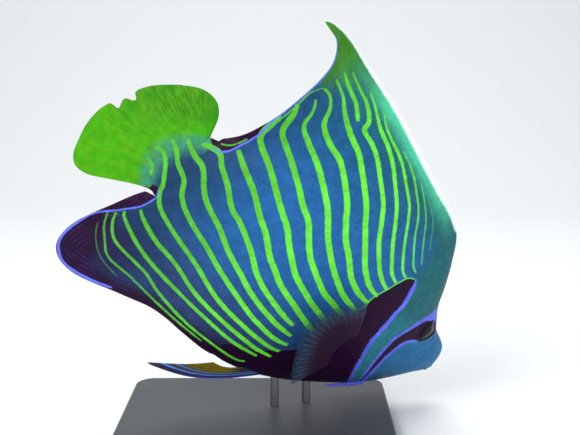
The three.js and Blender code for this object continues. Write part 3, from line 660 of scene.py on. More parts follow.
def skin_layout(relief_mm):
    """The right half of the skin as grids over columns and rows: x, y, half width, sway, fin share, ray."""
    share = np.linspace(0, 1, BODY_COLUMNS + 1)
    x = SNOUT_TIP + (CAUDAL_START - SNOUT_TIP) * (1 + CROWDING) * share**2 / (share + CROWDING)
    q = np.linspace(0, 1, FLANK_ROWS + 1)[None, :]
    rise = 0.85 * np.sin(np.pi * (q - 0.5)) + 0.15 * (2 * q - 1)
    middle = broadest_at(x)[:, None]
    back, belly = back_at(x)[:, None], belly_at(x)[:, None]
    reach = np.where(rise > 0, back - middle, middle - belly)
    flank_x = x[:, None] + 0 * q
    flank_y = middle + reach * rise
    flank_w = half_width_at(x)[:, None] * (1 - rise**2) ** (KEEL_SHARPNESS / 2)
    flank_w += relief(flank_x, flank_y) * MM * ramp(0, 2, flank_w)
    dorsal = fin_rows(x, back_at, DORSAL_ROOT, DORSAL_MARGIN, DORSAL_RAYS, DORSAL_ROWS, DORSAL_THICKNESS,
                      dorsal_bow, relief_mm)
    anal = fin_rows(x, belly_at, ANAL_ROOT, ANAL_MARGIN, ANAL_RAYS, ANAL_ROWS, ANAL_THICKNESS, anal_bow,
                    relief_mm)
    for rows, ridge, thickness in ((dorsal, back, DORSAL_THICKNESS), (anal, belly, ANAL_THICKNESS)):
        grown = rows[4][:, -1:]
        blended = fillet(flank_w, (RIM_HALF + thickness) * MM, np.abs(flank_y - ridge))
        near_ridge = np.abs(flank_y - ridge) < np.abs(flank_y - middle)
        flank_w = np.where(near_ridge, flank_w + grown * (blended - flank_w), flank_w)
    none = 0 * flank_x
    flank = (flank_x, flank_y, flank_w, none, none, none)
    body = [np.concatenate([a[:, ::-1], f, d], axis=1) for a, f, d in zip(anal, flank, dorsal)]

    t = np.linspace(0, 1, TAIL_COLUMNS + 1)[1:, None] ** 0.95
    root_y = flank_y[-1:]
    root_share = (root_y[:, -1:] - root_y) / (root_y[:, -1:] - root_y[:, :1])
    s = root_share + (1 - q - root_share) * t
    tip = point_along(curve(CAUDAL_MARGIN, 40), s)
    tail_x = CAUDAL_START + t * (tip[..., 0] - CAUDAL_START)
    tail_y = root_y + t * (tip[..., 1] - root_y)
    stalk = flank_w[-1:] * ramp(103, 93, tail_x)
    wave = ray_wave(s, CAUDAL_RAYS) * ramp(0.1, 0.4, t) * ramp(1, 0.93, t)
    blade = (RIM_HALF + CAUDAL_THICKNESS * (1 - t) ** 1.2 + relief_mm * wave) * MM * ramp(0, 0.08, t)
    sides = closing(np.abs(2 * q - 1), 0.95)
    tail_w = smooth_max(stalk, blade * sides, BLADE_FILLET * sides * ramp(0, 0.08, t))
    tail_w = tail_w * closing(t, ROUNDED_FROM)
    sway = CAUDAL_SWAY * np.sin(np.pi * s) * t**2
    tail = (tail_x, tail_y, tail_w, sway, t + 0 * s, s * CAUDAL_RAYS)
    beyond = ((0, 0), (ANAL_ROWS, DORSAL_ROWS))
    joined = [np.concatenate([b, np.pad(part, beyond, mode="edge")]) for b, part in zip(body, tail)]
    width, top = joined[2], ANAL_ROWS + FLANK_ROWS
    width[:, [0, -1]] = 0
    width[:BODY_COLUMNS + 1, top:][dorsal[4][:, -1] <= 0] = 0
    width[:BODY_COLUMNS + 1, :ANAL_ROWS + 1][anal[4][:, -1] <= 0] = 0
    width[BODY_COLUMNS + 1:, :ANAL_ROWS + 1] = 0
    width[BODY_COLUMNS + 1:, top:] = 0
    return joined


def grid_template(columns, rows):
    """A flat grid: each vertex's column and row, and the faces."""
    bm = bmesh.new()
    bmesh.ops.create_grid(bm, x_segments=columns, y_segments=rows, size=0.5)
    flat = np.array([v.co[:2] for v in bm.verts]) + 0.5
    faces = np.array([[v.index for v in f.verts] for f in bm.faces])
    bm.free()
    column = np.rint(flat[:, 0] * columns).astype(int)
    row = np.rint(flat[:, 1] * rows).astype(int)
    return column, row, faces


def scale_template():
    """One scale as a flat closed disc, a little raised inside: points on the unit disc, height, faces."""
    bm = bmesh.new()
    bmesh.ops.create_circle(bm, cap_ends=True, segments=8, radius=1)
    copy = bmesh.ops.duplicate(bm, geom=list(bm.faces) + list(bm.edges) + list(bm.verts))
    top = [f for f in copy["geom"] if isinstance(f, bmesh.types.BMFace)]
    for vert in bmesh.ops.poke(bm, faces=top)["verts"]:
        vert.co = (0.2, 0, 1)
    bmesh.ops.remove_doubles(bm, verts=bm.verts, dist=1e-5)
    bmesh.ops.triangulate(bm, faces=bm.faces)
    bmesh.ops.recalc_face_normals(bm, faces=bm.faces)
    bm.verts.index_update()
    points = np.array([v.co for v in bm.verts])
    faces = np.array([[v.index for v in f.verts] for f in bm.faces])
    bm.free()
    return points, faces


def piece(name, positions, faces, slot, material, values=None, weld=True, sharp=False):
    """A mesh object from one template set at many places, with its point attributes."""
    count, size, _ = positions.shape
    mesh = bpy.data.meshes.new(name)
    every = (faces[None] + np.arange(count)[:, None, None] * size).reshape(-1, faces.shape[1])
    mesh.from_pydata(positions.reshape(-1, 3).tolist(), [], every.tolist())
    for key, value in (values or {}).items():
        if value.ndim == 2:
            colour = np.concatenate([value, np.ones((len(value), 1))], axis=1)
            mesh.attributes.new(key, "FLOAT_COLOR", "POINT").data.foreach_set("color", colour.ravel())
        else:
            mesh.attributes.new(key, "FLOAT", "POINT").data.foreach_set("value", value)
    if weld:
        bm = bmesh.new()
        bm.from_mesh(mesh)
        bmesh.ops.remove_doubles(bm, verts=bm.verts, dist=2e-6)
        bmesh.ops.recalc_face_normals(bm, faces=bm.faces)
        bm.to_mesh(mesh)
        bm.free()
    mesh.polygons.foreach_set("use_smooth", np.ones(len(mesh.polygons), bool))
    if sharp:
        mesh.set_sharp_from_angle(angle=math.radians(60))
    obj = bpy.data.objects.new(name, mesh)
    bpy.context.scene.collection.objects.link(obj)
    obj.data.materials.append(material)
    if slot:
        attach(obj, "root")
    return obj


class Shader:
    """A short way to write a material's nodes."""

    def __init__(self, name, **constants):
        self.material = bpy.data.materials.new(name)
        self.material.use_nodes = True
        self.tree = self.material.node_tree
        self.surface = self.tree.nodes["Principled BSDF"]
        for socket, value in constants.items():
            self.surface.inputs[socket.replace("_", " ")].default_value = value

    def node(self, kind, settings=None, **inputs):
        made = self.tree.nodes.new("ShaderNode" + kind)
        for key, value in (settings or {}).items():
            setattr(made, key, value)
        for key, value in inputs.items():
            self.feed(made.inputs[key.replace("_", " ")], value)
        return made

    def feed(self, socket, value):
        if isinstance(value, bpy.types.NodeSocket):
            self.tree.links.new(value, socket)
        else:
            socket.default_value = value

    def attribute(self, name, output="Fac"):
        return self.node("Attribute", {"attribute_name": name}).outputs[output]

    def math(self, operation, a, b=0.0):
        made = self.node("Math", {"operation": operation})
        self.feed(made.inputs[0], a)
        self.feed(made.inputs[1], b)
        return made.outputs[0]

    def step(self, value, low, high, to=(0.0, 1.0)):
        """A smooth step of a value from one level to another."""
        made = self.node("MapRange", {"interpolation_type": "SMOOTHSTEP"}, Value=value)
        for socket, level in zip(("From Min", "From Max", "To Min", "To Max"), (low, high, *to)):
            made.inputs[socket].default_value = level
        return made.outputs["Result"]

    def times(self, *factors):
        product = factors[0]
        for factor in factors[1:]:
            product = self.math("MULTIPLY", product, factor)
        return product

    def mixed(self, factor, a, b, blend="MIX"):
        """Two colours mixed, each a socket, a tint's name or a colour."""
        made = self.node("Mix", {"data_type": "RGBA", "blend_type": blend})
        self.feed(made.inputs["Factor"], factor)
        for number, colour in ((6, a), (7, b)):
            if not isinstance(colour, bpy.types.NodeSocket):
                colour = opaque(TINTS[colour] if isinstance(colour, str) else colour)
            self.feed(made.inputs[number], colour)
        return made.outputs[2]

    def shaded(self, colour, level):
        """A colour multiplied by a grey level."""
        grey = self.node("CombineColor", Red=level, Green=level, Blue=level).outputs[0]
        return self.mixed(1.0, colour, grey, "MULTIPLY")

    def noise(self, scale, detail=3.0):
        place = self.node("TexCoord").outputs["Object"]
        return self.node("TexNoise", Vector=place, Scale=scale, Detail=detail).outputs["Fac"]

    def grain(self, scale):
        place = self.node("TexCoord").outputs["Object"]
        return self.node("TexVoronoi", Vector=place, Scale=scale).outputs["Distance"]

    def bump(self, height, distance, strength, normal=None):
        made = self.node("Bump", Height=height, Distance=distance, Strength=strength)
        if normal is not None:
            self.feed(made.inputs["Normal"], normal)
        return made.outputs["Normal"]

    def finish(self, colour, normal=None, alpha=None):
        """Feeds the surface and gives the material."""
        for name, value in (("Base Color", colour), ("Normal", normal), ("Alpha", alpha)):
            if value is not None:
                self.feed(self.surface.inputs[name], value)
        return self.material


def opaque(colour):
    """A colour with full alpha."""
    return (*colour[:3], 1.0)


# How soft the markings' edges are in mm, from the sharp lines to the mask and the white edge
LINE_SOFT = 0.4
MASK_SOFT = 0.5
EDGE_SOFT = 0.9
RIM_FADE = (1.2, 0.9)  # mm from a line's rim, between which it comes in
WAVER = 0.8  # mm by which noise moves the edges
# The pale net on the anal fin: mm between strands, their soft half width as shares of that, and the mm from
# the margin between which it comes and goes
NET_PITCH = 3.1
NET_STRAND = (0.16, 0.06)
NET_START = (2.5, 4.5)
NET_END = (19.0, 13.0)


def skin_material(name, settings, plates):
    """Skin and scales share the markings: ground, dark patches, stripes, blue lines, then the white edge."""
    shader = Shader(name, Roughness=0.48, Specular_IOR_Level=0.1)
    waver = shader.times(shader.math("SUBTRACT", shader.noise(420.0), 0.5), WAVER)
    colour = shader.attribute("ground", "Color")

    def within(distance, soft):
        return shader.step(shader.math("ADD", distance, waver), soft, -soft)

    def line(group):
        aside = shader.math("ABSOLUTE", shader.attribute(group + "_aside"))
        found = within(shader.math("SUBTRACT", aside, shader.attribute(group + "_half")), LINE_SOFT)
        return shader.times(found, shader.step(shader.attribute(group + "_rim"), *RIM_FADE))

    along_rays = shader.node("CombineXYZ", X=shader.attribute("ray"), Y=shader.attribute("fin")).outputs[0]
    streaks = shader.node("TexNoise", Vector=along_rays, Scale=5.0, Detail=2.0).outputs["Fac"]
    streaks = shader.times(shader.step(streaks, 0.42, 0.64), shader.attribute("tail"), 0.55)
    colour = shader.mixed(streaks, colour, "tail_streak")
    colour = shader.mixed(within(shader.attribute("dark"), MASK_SOFT), colour, settings.dark_colour)
    edge = shader.attribute("edge")
    far = shader.step(edge, 1.0, 8.0, (0.15, 1.0))
    # The stripes' colour, darkened toward the tail by painted shade
    stripe = shader.shaded(settings.stripe_colour, shader.attribute("stripe_painted_shade"))
    for group in ("odd", "even", "hem"):
        strong = shader.times(line(group), shader.attribute(group), far)
        colour = shader.mixed(strong, colour, stripe)
    net = shader.attribute("net")
    phase = shader.math("FRACT", shader.math("DIVIDE", shader.math("ADD", net, waver), NET_PITCH))
    strands = shader.step(shader.math("ABSOLUTE", shader.math("SUBTRACT", phase, 0.5)), *NET_STRAND)
    spread = shader.times(shader.step(net, *NET_START), shader.step(net, *NET_END))
    broken = shader.step(shader.noise(110.0), 0.42, 0.62, (0.0, 0.6))
    colour = shader.mixed(shader.times(strands, spread, broken), colour, "net")
    for found in (line("line"), line("trim"), within(shader.attribute("wedge"), LINE_SOFT)):
        colour = shader.mixed(found, colour, settings.line_colour)
    colour = shader.mixed(within(edge, EDGE_SOFT), colour, "edge")
    mottle = shader.step(shader.noise(160.0, 4.0), 0.3, 0.7, (0.88, 1.1))
    if plates:
        mottle = shader.times(mottle, shader.attribute("tone"))
    fine = shader.bump(shader.grain(1500.0), 0.00012, 0.3)
    coarse = shader.bump(shader.noise(900.0), 0.0002, 0.25, fine)
    return shader.finish(shader.shaded(colour, mottle), coarse)


def sampled(grid, column, row):
    """A grid's values at fractional columns and rows."""
    i = np.clip(np.floor(column).astype(int), 0, grid.shape[0] - 2)
    j = np.clip(np.floor(row).astype(int), 0, grid.shape[1] - 2)
    a = np.clip(column - i, 0, 1)[..., None]
    b = np.clip(row - j, 0, 1)[..., None]
    low = grid[i, j] * (1 - a) + grid[i + 1, j] * a
    high = grid[i, j + 1] * (1 - a) + grid[i + 1, j + 1] * a
    return low * (1 - b) + high * b


def skin_sides(layout):
    """Both sides of the skin's grid in their place over the stand."""
    x, y, w, sway = layout[:4]
    return {name: placed(x, y, sway + side * w) for name, side in SIDES.items()}


FIRST_SCALE = 5  # the station of the first row of scales
GILL_STATION = 30
ROW_STEP = 0.86  # the share of a scale's pitch between two rows
STRETCH = (0.62, 1.15)  # the least and most that a scale is stretched with the skin's grid
ROOM = 0.74  # the share of its size that a scale keeps clear round its root
SCALE_FORM = (0.9, 0.64)  # a scale's half length and half width as shares of its size
FIN_LEAN = math.radians(55)  # how far the scales on the fins lean toward the margin
# A scale's heights as shares of the scale lift: the free edge over the root, the root over the skin, and the
# middle over the rim
FREE_EDGE = 1.3
ROOT_HEIGHT = -0.4
DOME = 0.2
# How much skin is bare: ahead of this station, round the orbit, beside the gill slit and round a nostril
BARE_SNOUT = 5.5
BARE_ORBIT = 0.5
BARE_SLIT = 0.5
BARE_NOSTRIL = 0.8
BARE_EDGE = 0.6  # mm behind the white edge
FIN_COVER = 0.9  # the share of a fin's reach that bears scales
TAIL_COVER = 0.34
BAKE_HALF = 0.0015  # half of a scale's patch on the bake map
BAKE_EDGE = 0.01


def scale_roots(settings, grid, layout):
    """Where scales are rooted: fractional columns and rows of the skin's grid, and their size."""
    run = run_along(grid[:, MIDDLE_ROW])
    gill = np.interp(GILL_STATION, layout[0][:, MIDDLE_ROW], run)
    at = np.interp(FIRST_SCALE, layout[0][:, MIDDLE_ROW], run)
    levels = np.arange(grid.shape[1])
    columns, rows, sizes = [], [], []
    odd = False
    while at < run[-1] * 0.95:
        pitch = np.interp(at, [0.3 * gill, 1.1 * gill], [settings.head_pitch, settings.scale_pitch])
        column = np.interp(at, run, np.arange(len(run)))
        line = sampled(grid, np.full(len(levels), column), levels)
        beside = sampled(grid, np.full(len(levels), column + 1), levels)
        stretch = np.linalg.norm(beside - line, axis=1)
        stretch = np.clip(stretch / stretch[MIDDLE_ROW], *STRETCH)
        climb = np.linalg.norm(np.diff(line, axis=0), axis=1) / (0.5 * (stretch[1:] + stretch[:-1]))
        climb = np.concatenate([[0], np.cumsum(climb)])
        climb -= climb[MIDDLE_ROW]
        low, high = int(climb[0] / pitch) - 1, int(climb[-1] / pitch) + 1
        marks = (np.arange(low, high + 1) + 0.5 * odd) * pitch
        marks = marks[(marks > climb[0] + pitch) & (marks < climb[-1] - pitch)]
        row = np.interp(marks, climb, levels)
        rows.append(row)
        columns.append(np.full(len(marks), column))
        sizes.append(pitch * np.interp(row, levels, stretch))
        at += pitch * ROW_STEP
        odd = not odd
    return np.concatenate(columns), np.concatenate(rows), np.concatenate(sizes)


def climb_of(grid):
    """How far each of a grid's points is along its column, from the middle row."""
    steps = np.linalg.norm(np.diff(grid, axis=1), axis=2)
    climb = np.concatenate([np.zeros((len(grid), 1)), np.cumsum(steps, axis=1)], axis=1)
    return climb - climb[:, MIDDLE_ROW, None]


def row_after(climb, column, row, steps):
    """The rows reached from some rows after steps in metres up their columns."""
    levels = np.arange(climb.shape[1])
    nearest = np.rint(column).astype(int)
    reached = np.empty(steps.shape)
    for number in np.unique(nearest):
        here = nearest == number
        start = np.interp(row[here], levels, climb[number])
        reached[here] = np.interp(start[:, None] + steps[here], climb[number], levels)
    return reached


def scale_grid(grid, side, column, row, lean, spread):
    """Where each scale's points lie on a side's grid, its outward direction and whether it is sound."""
    along = sampled(grid, column + 0.5, row) - sampled(grid, column - 0.5, row)
    upward = sampled(grid, column, row + 0.5) - sampled(grid, column, row - 0.5)
    normal = side * np.cross(upward, along)
    normal /= np.maximum(np.linalg.norm(normal, axis=1, keepdims=True), 1e-12)
    rearward = along / np.linalg.norm(along, axis=1, keepdims=True)
    across = side * np.cross(normal, rearward)
    lie = np.cos(lean)[:, None] * rearward - np.sin(lean)[:, None] * across
    flat = side * np.cross(normal, lie)
    offset = spread[..., :1] * lie[:, None] + spread[..., 1:] * flat[:, None]
    uu = (along * along).sum(1)[:, None]
    vv = (upward * upward).sum(1)[:, None]
    uv = (along * upward).sum(1)[:, None]
    du = (offset * along[:, None]).sum(2)
    dv = (offset * upward[:, None]).sum(2)
    area = np.maximum(uu * vv - uv**2, 1e-20)
    columns = column[:, None] + np.clip((du * vv - dv * uv) / area, -8, 8)
    climbed = (dv * uu - du * uv) / area * np.sqrt(vv)
    rows = row_after(climb_of(grid), column, row, climbed)
    root = sampled(grid, column, row)
    surface = sampled(grid, columns, rows)
    real = np.linalg.norm(surface - root[:, None], axis=2).max(1)
    meant = np.linalg.norm(offset, axis=2).max(1)
    sound = (area[:, 0] > 0.06 * (uu * vv)[:, 0]) & (real < 1.35 * meant) & (real > 0.6 * meant)
    return columns, rows, surface, normal, sound


def keep_scales(x, y, fins, ahead):
    """Scales leave the snout, mouth, orbit, nostrils, gill slit and fin margins bare."""
    points = np.stack([x, y], -1)
    kept = (from_spot(points, EYE) > ORBIT + BARE_ORBIT) & (x > BARE_SNOUT + 0.2 * np.abs(y - 5))
    for nostril in NOSTRILS:
        kept &= from_spot(points, nostril) > BARE_NOSTRIL
    gap, share = distance_to(points, curve(GILL_LINE, 5))
    kept &= ~((gap < BARE_SLIT) & (share > 0.03) & (share < 0.97))
    kept &= (ahead > BARE_EDGE) & (fins < np.where(x > CAUDAL_START, TAIL_COVER, FIN_COVER))
    return kept


def spread_out(places, sizes, order):
    """Which places stay when each keeps clear of the ones before it."""
    tree = KDTree(len(places))
    for number, place in enumerate(places):
        tree.insert(place, number)
    tree.balance()
    kept = np.zeros(len(places), bool)
    for number in order:
        close = tree.find_range(places[number], ROOM * sizes[number])
        kept[number] = not any(kept[other] for _, other, _ in close)
    return kept


def satin(name):
    """The start of the finish that lips, spines and paired fins share."""
    return Shader(name, Roughness=0.5, Specular_IOR_Level=0.18)


class ANGELFISH_OT_skin(bpy.types.Operator):
    """Builds one skin over the body and its unpaired fins"""
    bl_idname = "angelfish.skin"
    bl_label = "Skin"

    def execute(self, context):
        settings = context.scene.angelfish
        layout = skin_layout(settings.ray_relief * 1000)
        sides = skin_sides(layout)
        ring = np.concatenate([sides["right"], sides["left"][:, -2::-1]], axis=1)
        marks = markings(layout[0].ravel(), layout[1].ravel())
        column, row, faces = grid_template(ring.shape[0] - 1, ring.shape[1] - 1)
        half = layout[0].shape[1]
        mirrored = np.where(row < half, row, 2 * half - 2 - row)
        pick = column * half + mirrored
        values = {key: value[pick] for key, value in marks.items()}
        values["ray"] = layout[5].ravel()[pick]
        values["fin"] = layout[4].ravel()[pick]
        material = skin_material("fish skin", settings, False)
        skin = piece("fish_skin", ring[column, row][None], faces, "skin", material, values)
        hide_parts("head", "torso", "tail_stalk", "dorsal_fin", "anal_fin", "caudal_fin")
        return {"FINISHED"}


class ANGELFISH_OT_scales(bpy.types.Operator):
    """Lays the scales over the skin in rows"""
    bl_idname = "angelfish.scales"
    bl_label = "Scales"

    def execute(self, context):
        settings = context.scene.angelfish
        draw = np.random.default_rng(settings.seed)
        layout = skin_layout(settings.ray_relief * 1000)
        material = skin_material("fish scales", settings, True)
        disc, faces = scale_template()
        plane = np.stack([layout[0], layout[1], layout[4]], -1)
        sides = skin_sides(layout)
        column, row, size = scale_roots(settings, sides["right"], layout)
        root = sampled(plane, column, row)
        kept = keep_scales(*root.T, markings(root[:, 0], root[:, 1])["edge"])
        column, row, size, root = column[kept], row[kept], size[kept], root[kept]
        order = np.argsort(np.abs(row - MIDDLE_ROW))
        kept = spread_out(sampled(sides["right"], column, row), size, order)
        column, row, size, root = column[kept], row[kept], size[kept], root[kept]
        fins = root[:, 2]
        outward = np.where(row > MIDDLE_ROW, 1.0, -1.0) * (root[:, 0] < CAUDAL_START + 1)
        lean = outward * FIN_LEAN * ramp(0, 0.35, fins)
        size *= (1 - 0.4 * ramp(0.35, 0.95, fins)) * draw.uniform(0.95, 1.05, len(size))
        spread = disc[None, :, :2] * size[:, None, None] * SCALE_FORM
        lifted = settings.scale_lift * (size / settings.scale_pitch) ** 0.5 * ramp(3.5, 10, root[:, 0])
        slope = (disc[:, 0] + 1) / 2
        lift = (FREE_EDGE * slope + ROOT_HEIGHT + DOME * disc[:, 2]) * lifted[:, None]
        tone = draw.uniform(0.91, 1.07, (len(size), 1)) * (1.03 - 0.12 * (slope > 0.8))
        laid = {name: scale_grid(sides[name], side, column, row, lean, spread)
                for name, side in SIDES.items()}
        sound = laid["right"][4] & laid["left"][4]
        values = None
        for name, (columns, rows, surface, normal, _) in laid.items():
            positions = (surface + lift[..., None] * normal[:, None])[sound]
            if values is None:
                spots = sampled(plane, columns[sound], rows[sound]).reshape(-1, 3)
                values = markings(spots[:, 0], spots[:, 1])
                values["tone"] = tone[sound].ravel()
                values["ray"] = sampled(layout[5][..., None], columns[sound], rows[sound]).ravel()
                values["fin"] = spots[:, 2]
            coat = piece(f"scales_{name}", positions, faces, "skin", material, values, False, True)
            spot = np.stack([column / (layout[0].shape[0] - 1), row / (layout[0].shape[1] - 1)], -1)[sound]
            patch = spot[:, None] * (1 - 2 * BAKE_EDGE) + BAKE_EDGE + disc[None, :, :2] * BAKE_HALF
            loops = np.empty(len(coat.data.loops), np.int32)
            coat.data.loops.foreach_get("vertex_index", loops)
            bake = coat.data.uv_layers.new(name="OFBake")
            bake.data.foreach_set("uv", patch.reshape(-1, 2)[loops].ravel())
        return {"FINISHED"}


# The rings round the pupil: where each starts and is full, as shares of the eye's radius, and its tint
EYE_RINGS = [(0.34, 0.37, "iris_ring"), (0.39, 0.46, "iris")]


class ANGELFISH_OT_eyes(bpy.types.Operator):
    """Builds the eyeballs"""
    bl_idname = "angelfish.eyes"
    bl_label = "Eyes"

    def execute(self, context):
        shader = Shader("eye", Roughness=0.14, Specular_IOR_Level=0.1)
        ring = shader.attribute("ring")
        colour = opaque(TINTS["pupil"])
        for start, full, tint in EYE_RINGS:
            colour = shader.mixed(shader.step(ring, start, full), colour, tint)
        flecks = shader.times(shader.step(shader.noise(1400.0), 0.5, 0.7), 0.4)
        colour = shader.mixed(flecks, colour, "iris_fleck")
        colour = shader.mixed(shader.step(ring, 0.62, 0.74), colour, "iris_rim")
        shader.finish(shader.mixed(shader.step(ring, 0.33, 0.30), colour, "pupil"))
        columns, rows = 56, 28
        column, row, faces = grid_template(columns, rows)
        around = column / columns * 2 * np.pi
        down = row / rows * np.pi
        ball = np.stack([np.sin(down) * np.cos(around), np.sin(down) * np.sin(around), np.cos(down)], -1)
        values = {"ring": np.where(ball[:, 2] > 0, np.hypot(ball[:, 0], ball[:, 1]), 1.0)}
        for name, side in SIDES.items():
            seat, normal = eye_seat(side)
            rearward = np.array([normal[2], 0, -normal[0]])
            rearward /= np.linalg.norm(rearward)
            upward = np.cross(normal, rearward)
            axes = np.stack([rearward * EYE_RADIUS, upward * EYE_RADIUS, normal * EYE_DEPTH])
            spots = placed(*(seat + ball @ axes).T)
            eye = piece(f"eyeball_{name}", spots[None], faces, "eye", shader.material, values)
            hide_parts(f"eye_{name}")
        return {"FINISHED"}


ASLANT = (0.31, 0.87, 0.39)  # a direction that no ray, lip or spine runs along


def tubes(paths, radii, sides):
    """Tapered round bars along many paths of equal point count, closed at both ends."""
    column, row, faces = grid_template(paths.shape[1] - 1, sides)
    along = np.gradient(paths, axis=1)
    along /= np.linalg.norm(along, axis=2, keepdims=True)
    across = np.cross(along, ASLANT)
    across /= np.linalg.norm(across, axis=2, keepdims=True)
    upward = np.cross(along, across)
    turn = row / sides * 2 * np.pi
    out = np.cos(turn)[None, :, None] * across[:, column] + np.sin(turn)[None, :, None] * upward[:, column]
    return paths[:, column] + out * radii[:, column][..., None], faces, column


LIPS = [(0.8, 0.78), (-0.82, 0.72)]  # each lip's rise over the mouth's slit, and its radius
LIP_FRONT = (1.35, 4.92)
LIP_SETBACK = 3.4  # how far behind that their corners lie
LIP_FALL = 0.31


def lip_paths():
    """Courses and radii of the two lips round the snout, in the straight fish."""
    b = np.linspace(-1, 1, 61)
    paths, radii = [], []
    for rise, size in LIPS:
        x = LIP_FRONT[0] + LIP_SETBACK * b**2
        y = LIP_FRONT[1] - LIP_FALL * (x - LIP_FRONT[0]) + rise * (1 - 0.7 * b**4)
        radius = size * np.sqrt(np.clip(1 - b**4, 0, 1))
        out = np.sin(np.pi * b / 2) * (skin_half(x, y) - 0.4 * radius)
        paths.append(placed(x, y, out))
        radii.append(radius * PERCENT)
    return np.array(paths), np.array(radii)


class ANGELFISH_OT_mouth(bpy.types.Operator):
    """Builds the lips"""
    bl_idname = "angelfish.mouth"
    bl_label = "Lips"

    def execute(self, context):
        shader = satin("lips")
        colour = shader.mixed(shader.step(shader.noise(500.0), 0.35, 0.7), "lip", "lip_pale")
        shader.finish(colour, shader.bump(shader.noise(1300.0), 0.0002, 0.5))
        positions, faces, _ = tubes(*lip_paths(), 20)
        piece("lips", positions, faces, "skin", shader.material)
        return {"FINISHED"}


CHEEK_SPINE = [(17.4, -8.6), (27, -15.3)]
CHEEK_SPINE_RADIUS = 0.75
CHEEK_SPINE_LIFT = 1.6
CHEEK_SPINE_SAG = 0.8


class ANGELFISH_OT_spines(bpy.types.Operator):
    """Builds the long spine at the lower corner of each cheek"""
    bl_idname = "angelfish.spines"
    bl_label = "Cheek spines"

    def execute(self, context):
        settings = context.scene.angelfish
        shader = satin("spine")
        dull = shader.step(shader.noise(700.0), 0.3, 0.8)
        shader.finish(shader.mixed(dull, settings.line_colour, "spine_dull"))
        t = np.linspace(0, 1, 40)
        (x0, y0), (x1, y1) = CHEEK_SPINE
        x = x0 + (x1 - x0) * t
        y = y0 + (y1 - y0) * t - CHEEK_SPINE_SAG * np.sin(np.pi * t)
        radius = CHEEK_SPINE_RADIUS * PERCENT * (1 - 0.75 * t) * closing(t, 0.93) * closing(1 - t, 0.95)
        out = skin_half(x, y) + CHEEK_SPINE_LIFT * t
        paths = np.array([placed(x, y, side * out) for side in SIDES.values()])
        positions, faces, _ = tubes(paths, np.array([radius, radius]), 12)
        piece("cheek_spines", positions, faces, "skin", shader.material)
        return {"FINISHED"}


PECTORAL_RAYS = 20
PECTORAL_STRANDS = 2  # that each ray branches into
STRAND_RADIUS = 0.3  # mm
PECTORAL_ROOT = [(32.6, 0.4), (31.6, -6.8)]
PECTORAL_RISE = 0.74  # radians, the direction of the first ray
PECTORAL_FAN = 1.46  # radians from the first ray to the last
PECTORAL_SPREAD = 0.43  # radians away from the flank
PECTORAL_CUP = 0.2
PECTORAL_SINK = 1.8
PECTORAL_LENGTH = 18.2
PECTORAL_SHORTENING = 4.9  # how much less the last ray reaches
PECTORAL_POINT = 3.7  # how much more the longest rays reach
WEB_SHARE = 0.98  # the membrane ends short of the rays' tips
PELVIC_RAYS = 6
PELVIC_ROOT = [(41, -22, 2.4), (46.5, -23.4, 2.6)]
PELVIC_DROOP = (3, 1.2)  # how far the first and last ray sag
# Blue streaks along the pelvic fins: the middle and half of each in shares of the fin, and its colour
PELVIC_STREAKS = [(0.035, 0.045, (90, 110, 250)), (0.3, 0.05, (70, 128, 206)), (0.5, 0.045, (66, 120, 190))]
PELVIC_MARGINS = {
    "right": [(65.2, -38.7, 2.9), (66.7, -38.9, 3), (62.7, -35.4, 3.2), (58.8, -31.9, 3.4),
              (54.6, -27.8, 3.2)],
    "left": [(69.4, -27, 3.8), (70.4, -25.4, 4), (66, -23.6, 4.5), (61, -22.3, 5.1), (55.5, -21.5, 5.6)],
}


def pectoral_place(s, t):
    """A point of the right pectoral fin's middle surface."""
    (x0, y0), (x1, y1) = PECTORAL_ROOT
    x, y = x0 + (x1 - x0) * s, y0 + (y1 - y0) * s
    rise = PECTORAL_RISE - PECTORAL_FAN * s
    spread = PECTORAL_SPREAD + PECTORAL_CUP * (2 * s - 1) ** 2
    length = PECTORAL_SINK + PECTORAL_LENGTH - PECTORAL_SHORTENING * s
    length = length + PECTORAL_POINT * bump_at(s, 0.34, 0.23)
    return np.stack([x + np.cos(rise) * np.cos(spread) * length * t,
                     y + np.sin(rise) * length * t,
                     skin_half(x, y) - PECTORAL_SINK + np.cos(rise) * np.sin(spread) * length * t], -1)


def pelvic_place(side):
    """Finds points of a pelvic fin's middle surface. The right fin is spread and the left one folded."""
    front, rear = (np.array(p) for p in PELVIC_ROOT)
    margin = curve(PELVIC_MARGINS[side], 20)

    def place(s, t):
        root = front + (rear - front) * s[..., None]
        point = root + (point_along(margin, s) - root) * t[..., None]
        droop = PELVIC_DROOP[0] - (PELVIC_DROOP[0] - PELVIC_DROOP[1]) * s
        point[..., 1] -= droop * np.sin(np.pi * t)
        return point

    return place


def pectoral_half(s, t):
    """Half of the pectoral membrane's thickness in mm."""
    return 0.08 + 0.75 * (1 - t) ** 3


def pelvic_half(s, t):
    """Half of a pelvic fin's thickness in mm, with its rays."""
    return 0.16 + (0.9 - 0.4 * s) * (1 - t) ** 0.9 + 0.22 * ray_wave(s - 0.5 / PELVIC_RAYS, PELVIC_RAYS)


def blade(place, half, columns, rows):
    """A closed thin blade over shares s across and t along a fin, with both faces."""
    column, row, faces = grid_template(columns, 2 * rows)
    s = column / columns
    turn = row / rows
    t = np.where(turn <= 1, turn, 2 - turn)
    face = np.where(turn <= 1, 1.0, -1.0)
    step = 0.01
    across = place(np.minimum(s + step, 1), t) - place(np.maximum(s - step, 0), t)
    outward = place(s, np.minimum(t + step, 1)) - place(s, np.maximum(t - step, 0))
    normal = np.cross(across, outward)
    normal /= np.linalg.norm(normal, axis=1, keepdims=True)
    sides = closing(np.abs(2 * s - 1), 0.97) * closing(t, 0.98) * closing(1 - t, 0.98)
    thick = half(s, t) * sides * MM * face
    return place(s, t) + thick[:, None] * normal, faces, s, t


